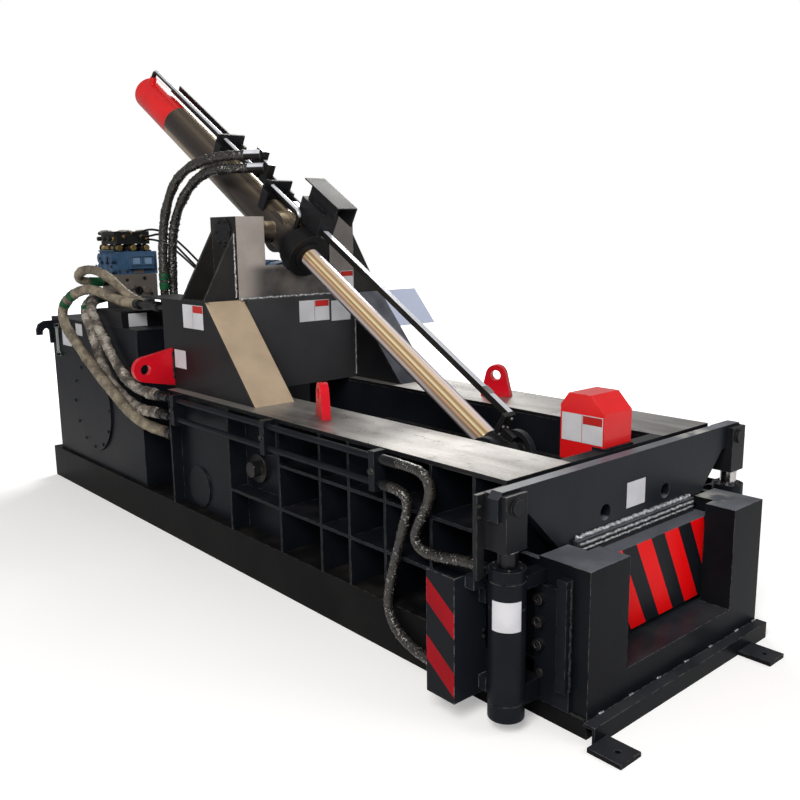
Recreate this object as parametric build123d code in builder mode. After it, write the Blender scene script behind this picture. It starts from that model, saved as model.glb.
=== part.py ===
from build123d import *
import math
import os

# Horizontal metal baler with a hinged lid and a lifting discharge gate, in millimetres.
# The origin lies on the floor, on the centre plane, under the front face of the gate frame.
# +X points the way the bale leaves, the oil tank stands at the -X end, +Z is up, -Y is the near side.

os.makedirs("parts", exist_ok=True)

# Fits
face_gap = 0.3
running_gap = 0.08
bolt_hole_gap = 0.5

# Skid
skid_length = 5400
half_width = 758
rail_height = 250
rail_flange = 80
rail_web_t = 12
rail_flange_t = 14
deck_t = 12
cross_member_t = 14
cross_member_pitch = 470
front_tie_height = 77
rail_front = -351
foot_width = 130
foot_length = 155
foot_t = 20
foot_hole_r = 12.5
foot_hole_inset = 60
foot_centres_y = [-672, 487]

# Baling chamber
chamber_rear = -3250
chamber_front = -351
inner_half = 352
wall_t = 50
floor_t = 20
wall_top = 1000
flange_t = 20
mouth_front = -417
rib_t = 16
rib_stations = [-1995, -1622, -1385, -1113, -800, -540]
bay_split = -2522
shelf_low = 505
shelf_high = 751
rear_web_face = 688
hinge_web_face = 643
web_t = 12
cover_disc_r = 130
cover_disc_t = 12
cover_disc_x = -3004
cover_disc_z = 392

# Tunnel between chamber and gate
tunnel_front = -258
bale_height = 290
roof_t = 38
tie_plate_t = 32
tie_plate_top = 680

# Front frame
frame_depth = 251
frame_half = 672
frame_mouth_half = 413
frame_top = 696
sill_top = 211
slot_half = 490
slot_front = -150
bumper_height = 80
bumper_depth = 52
bumper_half = 690
bumper_t = 12

# Gate
gate_front = -153
gate_rear = -255
gate_half = 480
gate_top = 633
gate_chamfer_top = 245
gate_chamfer_depth = 40
step_bar_depth = 23
step_bar_half = 450
step_bar_top = 700
beam_t = 55
gate_cyl_y = frame_half + 168
beam_half = gate_cyl_y + 75
beam_low = 600
beam_bend_low = 450
beam_bend_high = frame_half + 64
beam_end_low = 883
beam_end_gap = 5
beam_corner = 26
beam_hole_y = 231
beam_hole_z = 775
beam_hole_r = 36

# Gate cylinders
gate_cyl_x = -270
gate_barrel_r = 75
gate_bore_r = 60
gate_rod_r = 40
gate_barrel_low = 60
gate_barrel_top = 690
gate_gland_h = 40
gate_grooves = [132, 530, 640]
groove_w = 5
groove_depth = 3
gate_piston_h = 60
gate_seat_gap = 0.3
foot_block = [105, 195]
foot_block_half = 55
upper_block = [600, 655]
upper_block_depth = 64
clevis_low = 760
clevis_width = 120
clevis_cheek = 30
clevis_gap = 0.5
clevis_drop = 12
gate_pin_r = 25
gate_pin_z = 938
gate_pin_head_r = 34
gate_pin_head_t = 14

# Column guides and guards
guide_plate_t = 20
guide_screw_x = -218
guide_screw_top = 533
guide_screw_pitch = 97
guide_screw_r = 15
guide_screw_head_r = 22
guide_screw_head_h = 30
small_screw_r = 10
guide_low = 90
guide_top = 590
guide_bar_rear = -124
guide_bar_front = -76
guide_bar_low = 176
guide_bar_top = 645
guide_bar_t = 26
guard_in = gate_cyl_y - 18
guard_out = guard_in + 181
guard_rear = -560
guard_front = -400
guard_low = 110
guard_top = 642
guard_t = 5
port_y = gate_cyl_y - 55
port_r = 18
port_reach = -470
port_heights = [95, 615]
bar_x = -340
bar_size = 20
bar_y = gate_cyl_y + 90
bar_low = 640
bar_top = 985

# Tower
slope_foot = -2334
slope_head = -2850
tower_top = 1570
tower_rear = -3400
tower_inner = 417
tower_outer = 685
tower_wall_t = 20
canopy_rear = -3685
canopy_t = 12
slope_plate_t = 12
cross_front = -2780
cross_rear = -3140
cross_t = 20
wing_out = 1010
wing_foot = -2640

# Trunnion yoke
yoke_front = -2830
yoke_plate_t = 20
yoke_top = 2076
yoke_half = 450
yoke_cheek_t = 30
window_half = 250
window_low = 1775
yoke_rear = -3137
notch_r = 150
notch_centre_z = 1868
gusset_t = 16
gusset_top = 1990
cap_r = 90
cap_t = 14
cap_bolt_r = 9
cap_bolt_circle_r = 70
cap_bolt_h = 10

# Lid
hinge_x = -2352
hinge_z = 636
hinge_pin_r = 45
hinge_boss_r = 76
hinge_flange_r = 85
hinge_flange_t = 22
hinge_pin_out = 715
hinge_pin_in = 240
lid_front = -650
lid_low = 560
lid_top = 790
lid_side_gap = 5
lid_skin = 30
lid_bottom_t = 40
lid_rib_t = 36
lid_rib_inner = 100
lid_cross_ribs = [-2010, -1700, -1390]
lid_front_ribs = [-1235, -905]
knife_rear = -645
knife_t = 20
deck_plate_t = 20

# Lid cylinder, measured along its axis from the trunnion, towards the rod end
trunnion_x = -2975
trunnion_z = 1983
cylinder_slant_deg = 30.85
seam_reach = 1572
cap_length = 562
tail_reach = seam_reach + cap_length
barrel_front = 190
gland_front = 311
barrel_r = 122.5
barrel_bore_r = 100
gland_r = 146
gland_lip_r = 96
gland_lip_h = 14
tail_wall = 60
lid_rod_r = 62.5
lid_piston_h = 110
trunnion_tube_r = 70
trunnion_shaft_r = 60
trunnion_tube_half = 248
trunnion_shaft_half = 448
tail_bevel = 36
neck_r = 26
neck_top = 165
lid_piston_reach = 70
trunnion_collar_r = 132
trunnion_collar_half = 85
pin_reach = 2230
rod_eye_r = 72
rod_eye_half = 60
eye_neck_reach = 2110
rod_pin_r = 35
open_pivot_gap = 47
ear_r = 112
ear_gap = 2
pin_disc_r = 96
pin_disc_t = 12

# Fittings on the lid cylinder
line_r = 17
line_side = -40
line_rise = 215
line_tail = -tail_reach + 124
line_joint = -425
line_restart = -280
line_port = 150
line_bend_r = 45
bracket_reaches = [-870, -215]
bracket_t = 16
bracket_half = 105
bracket_top = 255
track_wall_t = 12
track_gap = 7
track_floor_t = 6
track_tie = 40
track_tail = -tail_reach + 304
guide_side = 60
guide_rise = 168
guide_size = 36
guide_tail = -60
guide_front = 2120
sensor_rear = 75
sensor_front = 320
sensor_side = 62
sensor_low = 146.5
sensor_top = 300
hood_top = 400
hood_front = 430
hood_side = 150
hood_t = 8
adapter_a = [-440, -365]
adapter_b = [-340, -265]
adapter_low = 192
adapter_a_top = 372
adapter_b_top = 330
adapter_sides = [-62, -10]
lid_hose_r = 29
lid_hose_ends = [(-3225, -120, 2478), (-3190, -120, 2392)]
ferrule_dir = (0.8, 0.6, 0)
ferrule_length = 110

# Lifting lugs
lug_near_x = -1845
lug_far_x = -1610
lug_y = 555
lug_length = 185
lug_height = 190
lug_t = 48
lug_turn_deg = 25
lug_r = 62
lug_hole_r = 30
side_lug_x = -3300
side_lug_out = 960
side_lug_low = 1014
side_lug_top = 1255
side_lug_t = 40
side_lug_r = 80
side_lug_rise = 0
side_lug_hole_r = 34

# Lid lock
lock_seat = 4
lock_bar_h = 60
lock_bar_half = 45
lock_bar_rear = -440
lock_nose = -640
lock_guide_half = 75
lock_strap_t = 20
lock_riser_x = -530
lock_riser_t = 20
lock_riser_half = 30
lock_barrel_r = 45
lock_bore_r = 32
lock_barrel_rear = -495
lock_barrel_front = -380
lock_wall_t = 14
lock_piston_h = 20
lock_piston_x = -416
lock_saddle_rear = -440
lock_guide_rear = -630
lock_guide_front = -440
lock_strap_w = 34
lock_bracket_half = 104
lock_bracket_t = 12
lock_rod_r = 18
lock_axis_z = 1085
cover_half = 104
cover_rear = -608
cover_front = -365
cover_low = 931
cover_shoulder_z = 1165
cover_top = 1243
cover_t = 4
cover_bevel_rear = 45
cover_bevel_front = 75
cover_seat_z = 1012

# Ram and main cylinder
ram_face = -2330
ram_length = 630
ram_top_gap = 5
ram_side_gap = 3
ram_floor_gap = 0.5
ram_plate_t = 60
ram_wall_t = 25
main_barrel_r = 140
main_bore_r = 115
main_rod_r = 80
main_gland = -2990
main_gland_t = 70
main_length = 2350
main_flange_t = 40
main_flange_top = 620
main_foot_half = 160
main_piston_h = 150
main_tail_wall = 70

# Oil tank and power pack
tank_rear = -5290
tank_front = -3710
tank_half = 730
tank_top = 1340
tank_wall = 8
tank_tunnel_half = 190
tank_tunnel_top = 620
hatch_x = -4560
hatch_z = 705
hatch_r = 345
hatch_t = 14
hatch_bolts = 12
hatch_bolt_r = 11
hatch_bolt_circle_r = 318
gauge_x = -5160
gauge_low = 1030
gauge_high = 1290
gauge_block = 34
hook_t = 28
stand_front = -3950
stand_rear = -4400
stand_near = -725
stand_far = -230
stand_top = 1450
manifold_rear = -4800
manifold_front = -4500
manifold_near = -487
manifold_far = -175
manifold_low = 1480
manifold_top = 1680
valve_rear = -4880
valve_front = -4535
valve_near = -500
valve_far = -150
valve_top = 1850
cap_r_small = 22
cap_ring = 6
cap_ys = [-440, -330, -220]
pilot_top = 2000
pilot_rear = -4840
pilot_front = -4560
motor_axis_y = 330
motor_axis_z = 1590
motor_r = 180
motor_rear = -4180
motor_front = -3480
motor_wall = 14
motor_shaft_r = 24
motor_core_r = 130
bell_r = 130
bell_length = 190
pump_r = 85
pump_length = 300

# Pipes along the near wall
pipe_r = 17
pipe_y = -800
pipe_upper_z = 960
pipe_lower_z = 840
pipe_rear = -3160
pipe_front = -1060
clamp_stations = [-3080, -2050, -1130]
clamp_t = 40
clamp_half = 30
clamp_low = 805
clamp_top = 995

# Hoses and their ends
union_rear = -3880
union_ys = [-640, -560]
union_z = 1503
union_r = 22
union_hex_r = 34
manifold_ports = [(-4700, 1625), (-4560, 1515), (-4700, 1515)]
nut_length = 40
nut_r = 34
pipe_fitting_rear = -3300
pipe_fitting_r = 25
upper_ferrule = 105
lower_ferrule = 50
drain_end = -3350
drain_y = -715
drain_z = 690
drain_nut_r = 42
drain_hose_r = 33.5
supply_hose_r = 30
lid_hose_x = -3990
lid_hose_feet = [-370, -300]
gate_hose_r = 21.5
pilot_hose_r = 8
pilot_block_rear = -3135
pilot_block_z = 1605

# Worked out from the sizes above
rib_inner = inner_half + wall_t
rail_top = rail_height
floor_top = rail_top + floor_t
chamber_roof = floor_top + bale_height
slant = math.radians(cylinder_slant_deg)
axis_dir = Vector(math.cos(slant), 0, -math.sin(slant))
axis_up = Vector(math.sin(slant), 0, math.cos(slant))
trunnion = Vector(trunnion_x, 0, trunnion_z)
main_axis_z = (floor_top + chamber_roof - ram_top_gap) / 2
rod_pin_point = trunnion + axis_dir * pin_reach
ear_hole_r = rod_pin_r + open_pivot_gap


def slab(low, high, mode=Mode.ADD):
    """A block between two opposite corners, in the part in work."""
    middle = [(a + b) / 2 for a, b in zip(low, high)]
    size = [abs(b - a) for a, b in zip(low, high)]
    with Locations(tuple(middle)):
        Box(*size, mode=mode)


def rod_x(x_low, x_high, y, z, r, mode=Mode.ADD):
    """A round bar along X."""
    with Locations(Plane(origin=(x_low, y, z), x_dir=(0, 1, 0), z_dir=(1, 0, 0))):
        Cylinder(r, x_high - x_low, align=(Align.CENTER, Align.CENTER, Align.MIN), mode=mode)


def rod_y(y_low, y_high, x, z, r, mode=Mode.ADD):
    """A round bar along Y."""
    with Locations(Plane(origin=(x, y_low, z), x_dir=(1, 0, 0), z_dir=(0, 1, 0))):
        Cylinder(r, y_high - y_low, align=(Align.CENTER, Align.CENTER, Align.MIN), mode=mode)


def rod_z(z_low, z_high, x, y, r, mode=Mode.ADD):
    """A round bar along Z."""
    with Locations((x, y, z_low)):
        Cylinder(r, z_high - z_low, align=(Align.CENTER, Align.CENTER, Align.MIN), mode=mode)


def side_plane(y):
    """A plane facing +Y whose sketch coordinates are X and Z."""
    return Plane(origin=(0, y, 0), x_dir=(1, 0, 0), z_dir=(0, -1, 0))


def profile_y(points, y_low, y_high, mode=Mode.ADD):
    """A prism along Y from an outline of (X, Z) points."""
    with BuildSketch(side_plane(y_high)) as outline:
        with BuildLine():
            Polyline(*points, close=True)
        make_face()
    extrude(outline.sketch, amount=y_high - y_low, mode=mode)


def profile_x(points, x_low, x_high, mode=Mode.ADD):
    """A prism along X from an outline of (Y, Z) points."""
    with BuildSketch(Plane.YZ.offset(x_low)) as outline:
        with BuildLine():
            Polyline(*points, close=True)
        make_face()
    extrude(outline.sketch, amount=x_high - x_low, mode=mode)


def axis_plane(reach, side=0, rise=0):
    """A plane square to the lid cylinder at a reach from the trunnion, moved sideways and up.

    Its x runs along +Y and its y along the upper side of the cylinder.
    """
    origin = trunnion + axis_dir * reach + Vector(0, 1, 0) * side + axis_up * rise
    return Plane(origin=origin, x_dir=(0, 1, 0), z_dir=axis_dir)


def axis_rod(reach_low, reach_high, r, side=0, rise=0, mode=Mode.ADD):
    """A round bar along the lid cylinder's direction."""
    with Locations(axis_plane(reach_low, side, rise)):
        Cylinder(r, reach_high - reach_low, align=(Align.CENTER, Align.CENTER, Align.MIN), mode=mode)


def axis_box(reach_low, reach_high, side_low, side_high, rise_low, rise_high, mode=Mode.ADD):
    """A block square to the lid cylinder's direction."""
    side = (side_low + side_high) / 2
    rise = (rise_low + rise_high) / 2
    with Locations(axis_plane(reach_low, side, rise)):
        Box(
            side_high - side_low,
            rise_high - rise_low,
            reach_high - reach_low,
            align=(Align.CENTER, Align.CENTER, Align.MIN),
            mode=mode,
        )


# Skid: two channels with their webs outwards, cross members, deck, and the tie under the front frame
inner_web = half_width - rail_web_t
with BuildPart() as skid_frame:
    slab((-skid_length, -half_width, 0), (rail_front, -inner_web, rail_height))
    for low in (0, rail_height - rail_flange_t):
        slab((-skid_length, -half_width, low), (rail_front, -half_width + rail_flange, low + rail_flange_t))
    mirror(about=Plane.XZ)
    slab((-skid_length, -inner_web, rail_top - deck_t), (rail_front, inner_web, rail_top))
    slab((rail_front, -frame_half, rail_top - deck_t), (tunnel_front, frame_half, rail_top))
    x = -skid_length
    while x < rail_front - cross_member_pitch / 2:
        slab((x, -inner_web, 0), (x + cross_member_t, inner_web, rail_top - deck_t))
        x += cross_member_pitch
    slab((rail_front - cross_member_t, -inner_web, 0), (rail_front, inner_web, rail_top))
    slab((rail_front, -frame_half, 0), (0, frame_half, front_tie_height))
    tie_nose = bumper_depth - bumper_t
    slab((0, -frame_mouth_half, 0), (tie_nose, frame_mouth_half, bumper_height - bumper_t))
skid_frame.part.label = "skid_frame"
export_step(skid_frame.part, "parts/skid_frame.step")

# Two feet that reach out in front, each with one anchor hole
with BuildPart() as anchor_feet:
    for y in foot_centres_y:
        half_foot = foot_width / 2
        slab((bumper_depth, y - half_foot, 0), (bumper_depth + foot_length, y + half_foot, foot_t))
        rod_z(0, foot_t, bumper_depth + foot_length - foot_hole_inset, y, foot_hole_r, mode=Mode.SUBTRACT)
anchor_feet.part.label = "anchor_feet"
export_step(anchor_feet.part, "parts/anchor_feet.step")

# Wear plate on the deck, from the rear of the chamber to the gate
with BuildPart() as chamber_floor:
    slab((chamber_rear, -inner_half, rail_top), (tunnel_front, inner_half, floor_top))
chamber_floor.part.label = "chamber_floor"
export_step(chamber_floor.part, "parts/chamber_floor.step")

# Near side wall: inner plate, ribs, shelves and the two closed bays at the rear
rib_top = wall_top - flange_t
with BuildPart() as side_wall_near:
    slab((chamber_rear, -rib_inner, rail_top), (chamber_front, -inner_half, rib_top))
    slab((chamber_front, -rib_inner, rail_top), (tunnel_front, -inner_half, chamber_roof + roof_t))
    for x in [chamber_rear, bay_split] + rib_stations + [chamber_front - rib_t]:
        slab((x, -half_width, rail_top), (x + rib_t, -rib_inner, rib_top))
    for z, x in ((shelf_low, bay_split), (shelf_high, rib_stations[0])):
        slab((x, -half_width, z - rib_t), (chamber_front, -rib_inner, z))
    slab((chamber_rear, -rear_web_face, rail_top), (bay_split, -rear_web_face + web_t, rib_top))
    rod_y(-rear_web_face - cover_disc_t, -rear_web_face, cover_disc_x, cover_disc_z, cover_disc_r)
    slab((bay_split, -hinge_web_face, rail_top), (rib_stations[0], -hinge_web_face + web_t, rib_top))
    rod_y(-half_width, -inner_half, hinge_x, hinge_z, hinge_pin_r + running_gap, mode=Mode.SUBTRACT)
side_wall_near.part.label = "side_wall_near"
export_step(side_wall_near.part, "parts/side_wall_near.step")

with BuildPart() as side_wall_far:
    mirror(side_wall_near.part, about=Plane.XZ)
side_wall_far.part.label = "side_wall_far"
export_step(side_wall_far.part, "parts/side_wall_far.step")

# Bright top flanges that lie on the side walls
with BuildPart() as top_flanges:
    slab((chamber_rear, -half_width, rib_top), (chamber_front, -inner_half, wall_top))
    mirror(about=Plane.XZ)
top_flanges.part.label = "top_flanges"
export_step(top_flanges.part, "parts/top_flanges.step")

# Front wall over the tunnel, with the knife beam that the lid closes against
wall_face = chamber_front - knife_t
with BuildPart() as front_wall:
    slab((wall_face, -inner_half, chamber_roof), (chamber_front, inner_half, rib_top))
    slab((mouth_front, -inner_half, rib_top), (chamber_front, inner_half, wall_top))
    slab((knife_rear, -inner_half, lid_top - deck_plate_t), (wall_face, inner_half, lid_top))
    slab((knife_rear, -inner_half, chamber_roof), (knife_rear + knife_t, inner_half, lid_top))
    slab((knife_rear, -inner_half, chamber_roof), (tunnel_front, inner_half, chamber_roof + roof_t))
    for y in (-inner_half / 2, inner_half / 2):
        slab((knife_rear, y - rib_t / 2, chamber_roof), (wall_face, y + rib_t / 2, lid_top))
front_wall.part.label = "front_wall"
export_step(front_wall.part, "parts/front_wall.step")

# Tower boxes beside the lid, with a slanted front, closed all round
tower_outline = [
    (tower_rear, wall_top),
    (slope_foot, wall_top),
    (slope_head, tower_top),
    (tower_rear, tower_top),
]
tower_inside = [
    (tower_rear + tower_wall_t, wall_top + tower_wall_t),
    (slope_foot - 2 * tower_wall_t, wall_top + tower_wall_t),
    (slope_head - tower_wall_t, tower_top - tower_wall_t),
    (tower_rear + tower_wall_t, tower_top - tower_wall_t),
]
with BuildPart() as tower_box_far:
    profile_y(tower_outline, tower_inner, tower_outer)
    profile_y(tower_inside, tower_inner + tower_wall_t, tower_outer - tower_wall_t, mode=Mode.SUBTRACT)
tower_box_far.part.label = "tower_box_far"
export_step(tower_box_far.part, "parts/tower_box_far.step")

# The near box's top plate runs on to the rear, over the hose ends
with BuildPart() as tower_box_near:
    mirror(tower_box_far.part, about=Plane.XZ)
    slab((canopy_rear, -tower_outer, tower_top - canopy_t), (tower_rear, -tower_inner, tower_top))
tower_box_near.part.label = "tower_box_near"
export_step(tower_box_near.part, "parts/tower_box_near.step")

# Plates on the two slanted fronts, and a third in line with the far one that stands out past its box
slope_angle = math.atan2(tower_top - wall_top, slope_foot - slope_head)
plate_lift = slope_plate_t / math.sin(slope_angle)
wing_rise = (slope_foot - wing_foot) * math.tan(slope_angle)
slope_outline = [
    (slope_foot, wall_top),
    (slope_foot + plate_lift, wall_top),
    (slope_head + plate_lift, tower_top),
    (slope_head, tower_top),
]
wing_outline = [
    (wing_foot, wall_top + wing_rise),
    (wing_foot + plate_lift, wall_top + wing_rise),
    (slope_head + plate_lift, tower_top),
    (slope_head, tower_top),
]
with BuildPart() as slope_plates:
    profile_y(slope_outline, -tower_outer, -tower_inner)
    profile_y(slope_outline, tower_inner, tower_outer)
    profile_y(wing_outline, tower_outer, wing_out)
slope_plates.part.label = "slope_plates"
export_step(slope_plates.part, "parts/slope_plates.step")

# Beam between the tower boxes, which carries the yoke
with BuildPart() as cross_beam:
    slab((cross_front - cross_t, -tower_inner, wall_top), (cross_front, tower_inner, tower_top))
    slab((cross_rear, -tower_inner, tower_top - cross_t), (cross_front, tower_inner, tower_top))
    slab((cross_rear, -tower_inner, wall_top), (cross_rear + cross_t, tower_inner, tower_top))
cross_beam.part.label = "cross_beam"
export_step(cross_beam.part, "parts/cross_beam.step")

# Yoke: front plate with a window, two cheeks a side with the trunnion bores, and gussets
yoke_face = yoke_front - yoke_plate_t
with BuildPart() as trunnion_yoke:
    slab((yoke_face, -yoke_half, tower_top), (yoke_front, yoke_half, yoke_top))
    slab((yoke_face, -window_half, window_low), (yoke_front, window_half, yoke_top), mode=Mode.SUBTRACT)
    rod_x(yoke_face, yoke_front, 0, notch_centre_z, notch_r, mode=Mode.SUBTRACT)
    for y in (-yoke_half, -window_half - yoke_cheek_t, window_half, yoke_half - yoke_cheek_t):
        slab((yoke_rear, y, tower_top), (yoke_face, y + yoke_cheek_t, yoke_top))
    for x in (yoke_rear, yoke_face - gusset_t):
        gusset = [(-yoke_half, tower_top), (-yoke_half, gusset_top), (-tower_outer, tower_top)]
        profile_x(gusset, x, x + gusset_t)
        profile_x([(-y, z) for y, z in gusset], x, x + gusset_t)
    rod_y(
        -yoke_half, yoke_half, trunnion_x, trunnion_z, trunnion_shaft_r + running_gap, mode=Mode.SUBTRACT
    )
trunnion_yoke.part.label = "trunnion_yoke"
export_step(trunnion_yoke.part, "parts/trunnion_yoke.step")

# Round caps over the trunnion ends, each with a ring of screws
with BuildPart() as bearing_caps:
    for side in (-1, 1):
        cap_seat = Plane(
            origin=(trunnion_x, side * yoke_half, trunnion_z), x_dir=(1, 0, 0), z_dir=(0, side, 0)
        )
        with Locations(cap_seat):
            Cylinder(cap_r, cap_t, align=(Align.CENTER, Align.CENTER, Align.MIN))
        with Locations(cap_seat.offset(cap_t)):
            with PolarLocations(cap_bolt_circle_r, 6):
                Cylinder(cap_bolt_r, cap_bolt_h, align=(Align.CENTER, Align.CENTER, Align.MIN))
bearing_caps.part.label = "bearing_caps"
export_step(bearing_caps.part, "parts/bearing_caps.step")

# Front frame: two columns with slots for the gate, a sill, tie plates to the chamber, and the angle
# along its foot
with BuildPart() as front_frame:
    slab((-frame_depth, -frame_half, front_tie_height), (0, frame_half, frame_top))
    slab((-frame_depth, -frame_mouth_half, sill_top), (0, frame_mouth_half, frame_top), mode=Mode.SUBTRACT)
    slab((-frame_depth, -slot_half, sill_top), (slot_front, slot_half, frame_top), mode=Mode.SUBTRACT)
    for y in (-frame_half, frame_half - tie_plate_t):
        slab((chamber_front, y, rail_top), (-frame_depth, y + tie_plate_t, tie_plate_top))
    slab((tie_nose, -bumper_half, 0), (bumper_depth, bumper_half, bumper_height))
    slab((0, -bumper_half, bumper_height - bumper_t), (bumper_depth, bumper_half, bumper_height))
front_frame.part.label = "front_frame"
export_step(front_frame.part, "parts/front_frame.step")

# Guide plates on the columns' outer faces, each with an upright bar and four screws
screw_heights = [guide_screw_top - guide_screw_pitch * row for row in range(3)]
small_screw_z = guide_screw_top - guide_screw_pitch * 3.3
guide_face = frame_half + guide_plate_t
with BuildPart() as gate_guides:
    slab((-frame_depth, -guide_face, guide_low), (guide_bar_front, -frame_half, guide_top))
    slab(
        (guide_bar_rear, -guide_face - guide_bar_t, guide_bar_low),
        (guide_bar_front, -guide_face, guide_bar_top),
    )
    slab((guide_bar_rear, -guide_face, guide_top), (guide_bar_front, -frame_half, guide_bar_top))
    for z in screw_heights:
        rod_y(-guide_face, -frame_half, guide_screw_x, z, guide_screw_r + bolt_hole_gap, mode=Mode.SUBTRACT)
    rod_y(
        -guide_face,
        -frame_half,
        guide_screw_x,
        small_screw_z,
        small_screw_r + bolt_hole_gap,
        mode=Mode.SUBTRACT,
    )
    mirror(about=Plane.XZ)
gate_guides.part.label = "gate_guides"
export_step(gate_guides.part, "parts/gate_guides.step")

with BuildPart() as guide_screws:
    for z in screw_heights:
        head_face = -guide_face - guide_screw_head_h
        rod_y(-guide_face, -frame_half, guide_screw_x, z, guide_screw_r)
        rod_y(head_face, -guide_face, guide_screw_x, z, guide_screw_head_r)
        rod_y(head_face, head_face + 14, guide_screw_x, z, guide_screw_r * 0.7, mode=Mode.SUBTRACT)
    rod_y(-guide_face, -frame_half, guide_screw_x, small_screw_z, small_screw_r)
    rod_y(-guide_face - small_screw_r, -guide_face, guide_screw_x, small_screw_z, small_screw_r * 1.6)
    mirror(about=Plane.XZ)
guide_screws.part.label = "guide_screws"
export_step(guide_screws.part, "parts/guide_screws.step")

# Gate cylinders: barrels with grooves, blocks to the columns, and two oil ports each
gate_port_tip = gate_cyl_x - 30
with BuildPart() as gate_cylinders:
    rod_z(gate_barrel_low, gate_barrel_top, gate_cyl_x, -gate_cyl_y, gate_barrel_r)
    for groove_z in gate_grooves:
        with Locations((gate_cyl_x, -gate_cyl_y, groove_z)):
            Cylinder(gate_barrel_r + 2, groove_w, mode=Mode.SUBTRACT)
            Cylinder(gate_barrel_r - groove_depth, groove_w)
    slab(
        (gate_cyl_x - foot_block_half, -gate_cyl_y, foot_block[0]),
        (gate_cyl_x + foot_block_half, -guide_face, foot_block[1]),
    )
    slab((gate_cyl_x, -gate_cyl_y, upper_block[0]), (gate_cyl_x + upper_block_depth, -frame_half, upper_block[1]))
    for z in port_heights:
        rod_x(port_reach, gate_port_tip, -port_y, z, port_r)
        rod_x(port_reach, port_reach + 34, -port_y, z, port_r * 1.5)
    rod_z(
        gate_barrel_low + gate_gland_h,
        gate_barrel_top - gate_gland_h,
        gate_cyl_x,
        -gate_cyl_y,
        gate_bore_r,
        mode=Mode.SUBTRACT,
    )
    rod_z(
        gate_barrel_top - gate_gland_h,
        gate_barrel_top,
        gate_cyl_x,
        -gate_cyl_y,
        gate_rod_r + running_gap,
        mode=Mode.SUBTRACT,
    )
    mirror(about=Plane.XZ)
gate_cylinders.part.label = "gate_cylinders"
export_step(gate_cylinders.part, "parts/gate_cylinders.step")

# Rods of the gate cylinders, each with its piston
gate_piston_low = gate_barrel_low + gate_gland_h + 10
with BuildPart() as gate_rods:
    rod_z(gate_piston_low, clevis_low, gate_cyl_x, -gate_cyl_y, gate_rod_r)
    rod_z(
        gate_piston_low,
        gate_piston_low + gate_piston_h,
        gate_cyl_x,
        -gate_cyl_y,
        gate_bore_r - running_gap,
    )
    mirror(about=Plane.XZ)
gate_rods.part.label = "gate_rods"
export_step(gate_rods.part, "parts/gate_rods.step")

# Forks on the rods that hold the beam's ends, with their pins and the position bars
cheek_front = gate_rear + clevis_gap
cheek_rear = gate_rear - beam_t - clevis_gap
fork_rear = cheek_rear - clevis_cheek
fork_front = cheek_front + clevis_cheek
fork_out = gate_cyl_y + clevis_width / 2
fork_in = gate_cyl_y - clevis_width / 2
with BuildPart() as gate_forks:
    slab((fork_rear, -fork_out, clevis_low), (fork_front, -fork_in, wall_top - clevis_drop))
    slab(
        (cheek_rear, -fork_out, beam_end_low - beam_end_gap),
        (cheek_front, -fork_in, wall_top),
        mode=Mode.SUBTRACT,
    )
    rod_x(fork_rear - gate_pin_head_t, fork_front + gate_pin_head_t, -gate_cyl_y, gate_pin_z, gate_pin_r)
    rod_x(fork_front, fork_front + gate_pin_head_t, -gate_cyl_y, gate_pin_z, gate_pin_head_r)
    rod_x(fork_rear - gate_pin_head_t, fork_rear, -gate_cyl_y, gate_pin_z, gate_pin_head_r)
    bar_in = bar_y - bar_size
    slab((bar_x - bar_size / 2, -bar_y - bar_size, bar_low), (bar_x + bar_size / 2, -bar_in, bar_top))
    slab((bar_x - bar_size / 2, -bar_in, bar_top - 45), (bar_x + bar_size / 2, -fork_in, bar_top))
    mirror(about=Plane.XZ)
gate_forks.part.label = "gate_forks"
export_step(gate_forks.part, "parts/gate_forks.step")

# Gate plate with its lower front edge cut back, and the step bar welded on top
with BuildPart() as gate:
    gate_low = sill_top + gate_seat_gap
    gate_outline = [
        (gate_rear, gate_low),
        (gate_front - gate_chamfer_depth, gate_low),
        (gate_front, gate_chamfer_top),
        (gate_front, gate_top),
        (gate_rear, gate_top),
    ]
    profile_y(gate_outline, -gate_half, gate_half)
    slab((gate_rear, -step_bar_half, gate_top), (gate_rear + step_bar_depth, step_bar_half, step_bar_top))
gate.part.label = "gate"
export_step(gate.part, "parts/gate.step")

# Lifting beam behind the gate plate, from fork to fork
with BuildPart() as gate_beam:
    beam_outline = [
        (-beam_half, beam_end_low),
        (-beam_bend_high, beam_end_low),
        (-beam_bend_low, beam_low),
        (beam_bend_low, beam_low),
        (beam_bend_high, beam_end_low),
        (beam_half, beam_end_low),
        (beam_half, wall_top - beam_corner),
        (beam_half - beam_corner, wall_top),
        (-beam_half + beam_corner, wall_top),
        (-beam_half, wall_top - beam_corner),
    ]
    profile_x(beam_outline, gate_rear - beam_t, gate_rear)
    for y in (-beam_hole_y, beam_hole_y):
        rod_x(gate_rear - beam_t, gate_rear, y, beam_hole_z, beam_hole_r, mode=Mode.SUBTRACT)
    for y in (-gate_cyl_y, gate_cyl_y):
        rod_x(
            gate_rear - beam_t, gate_rear, y, gate_pin_z, gate_pin_r + running_gap, mode=Mode.SUBTRACT
        )
gate_beam.part.label = "gate_beam"
export_step(gate_beam.part, "parts/gate_beam.step")

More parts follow.
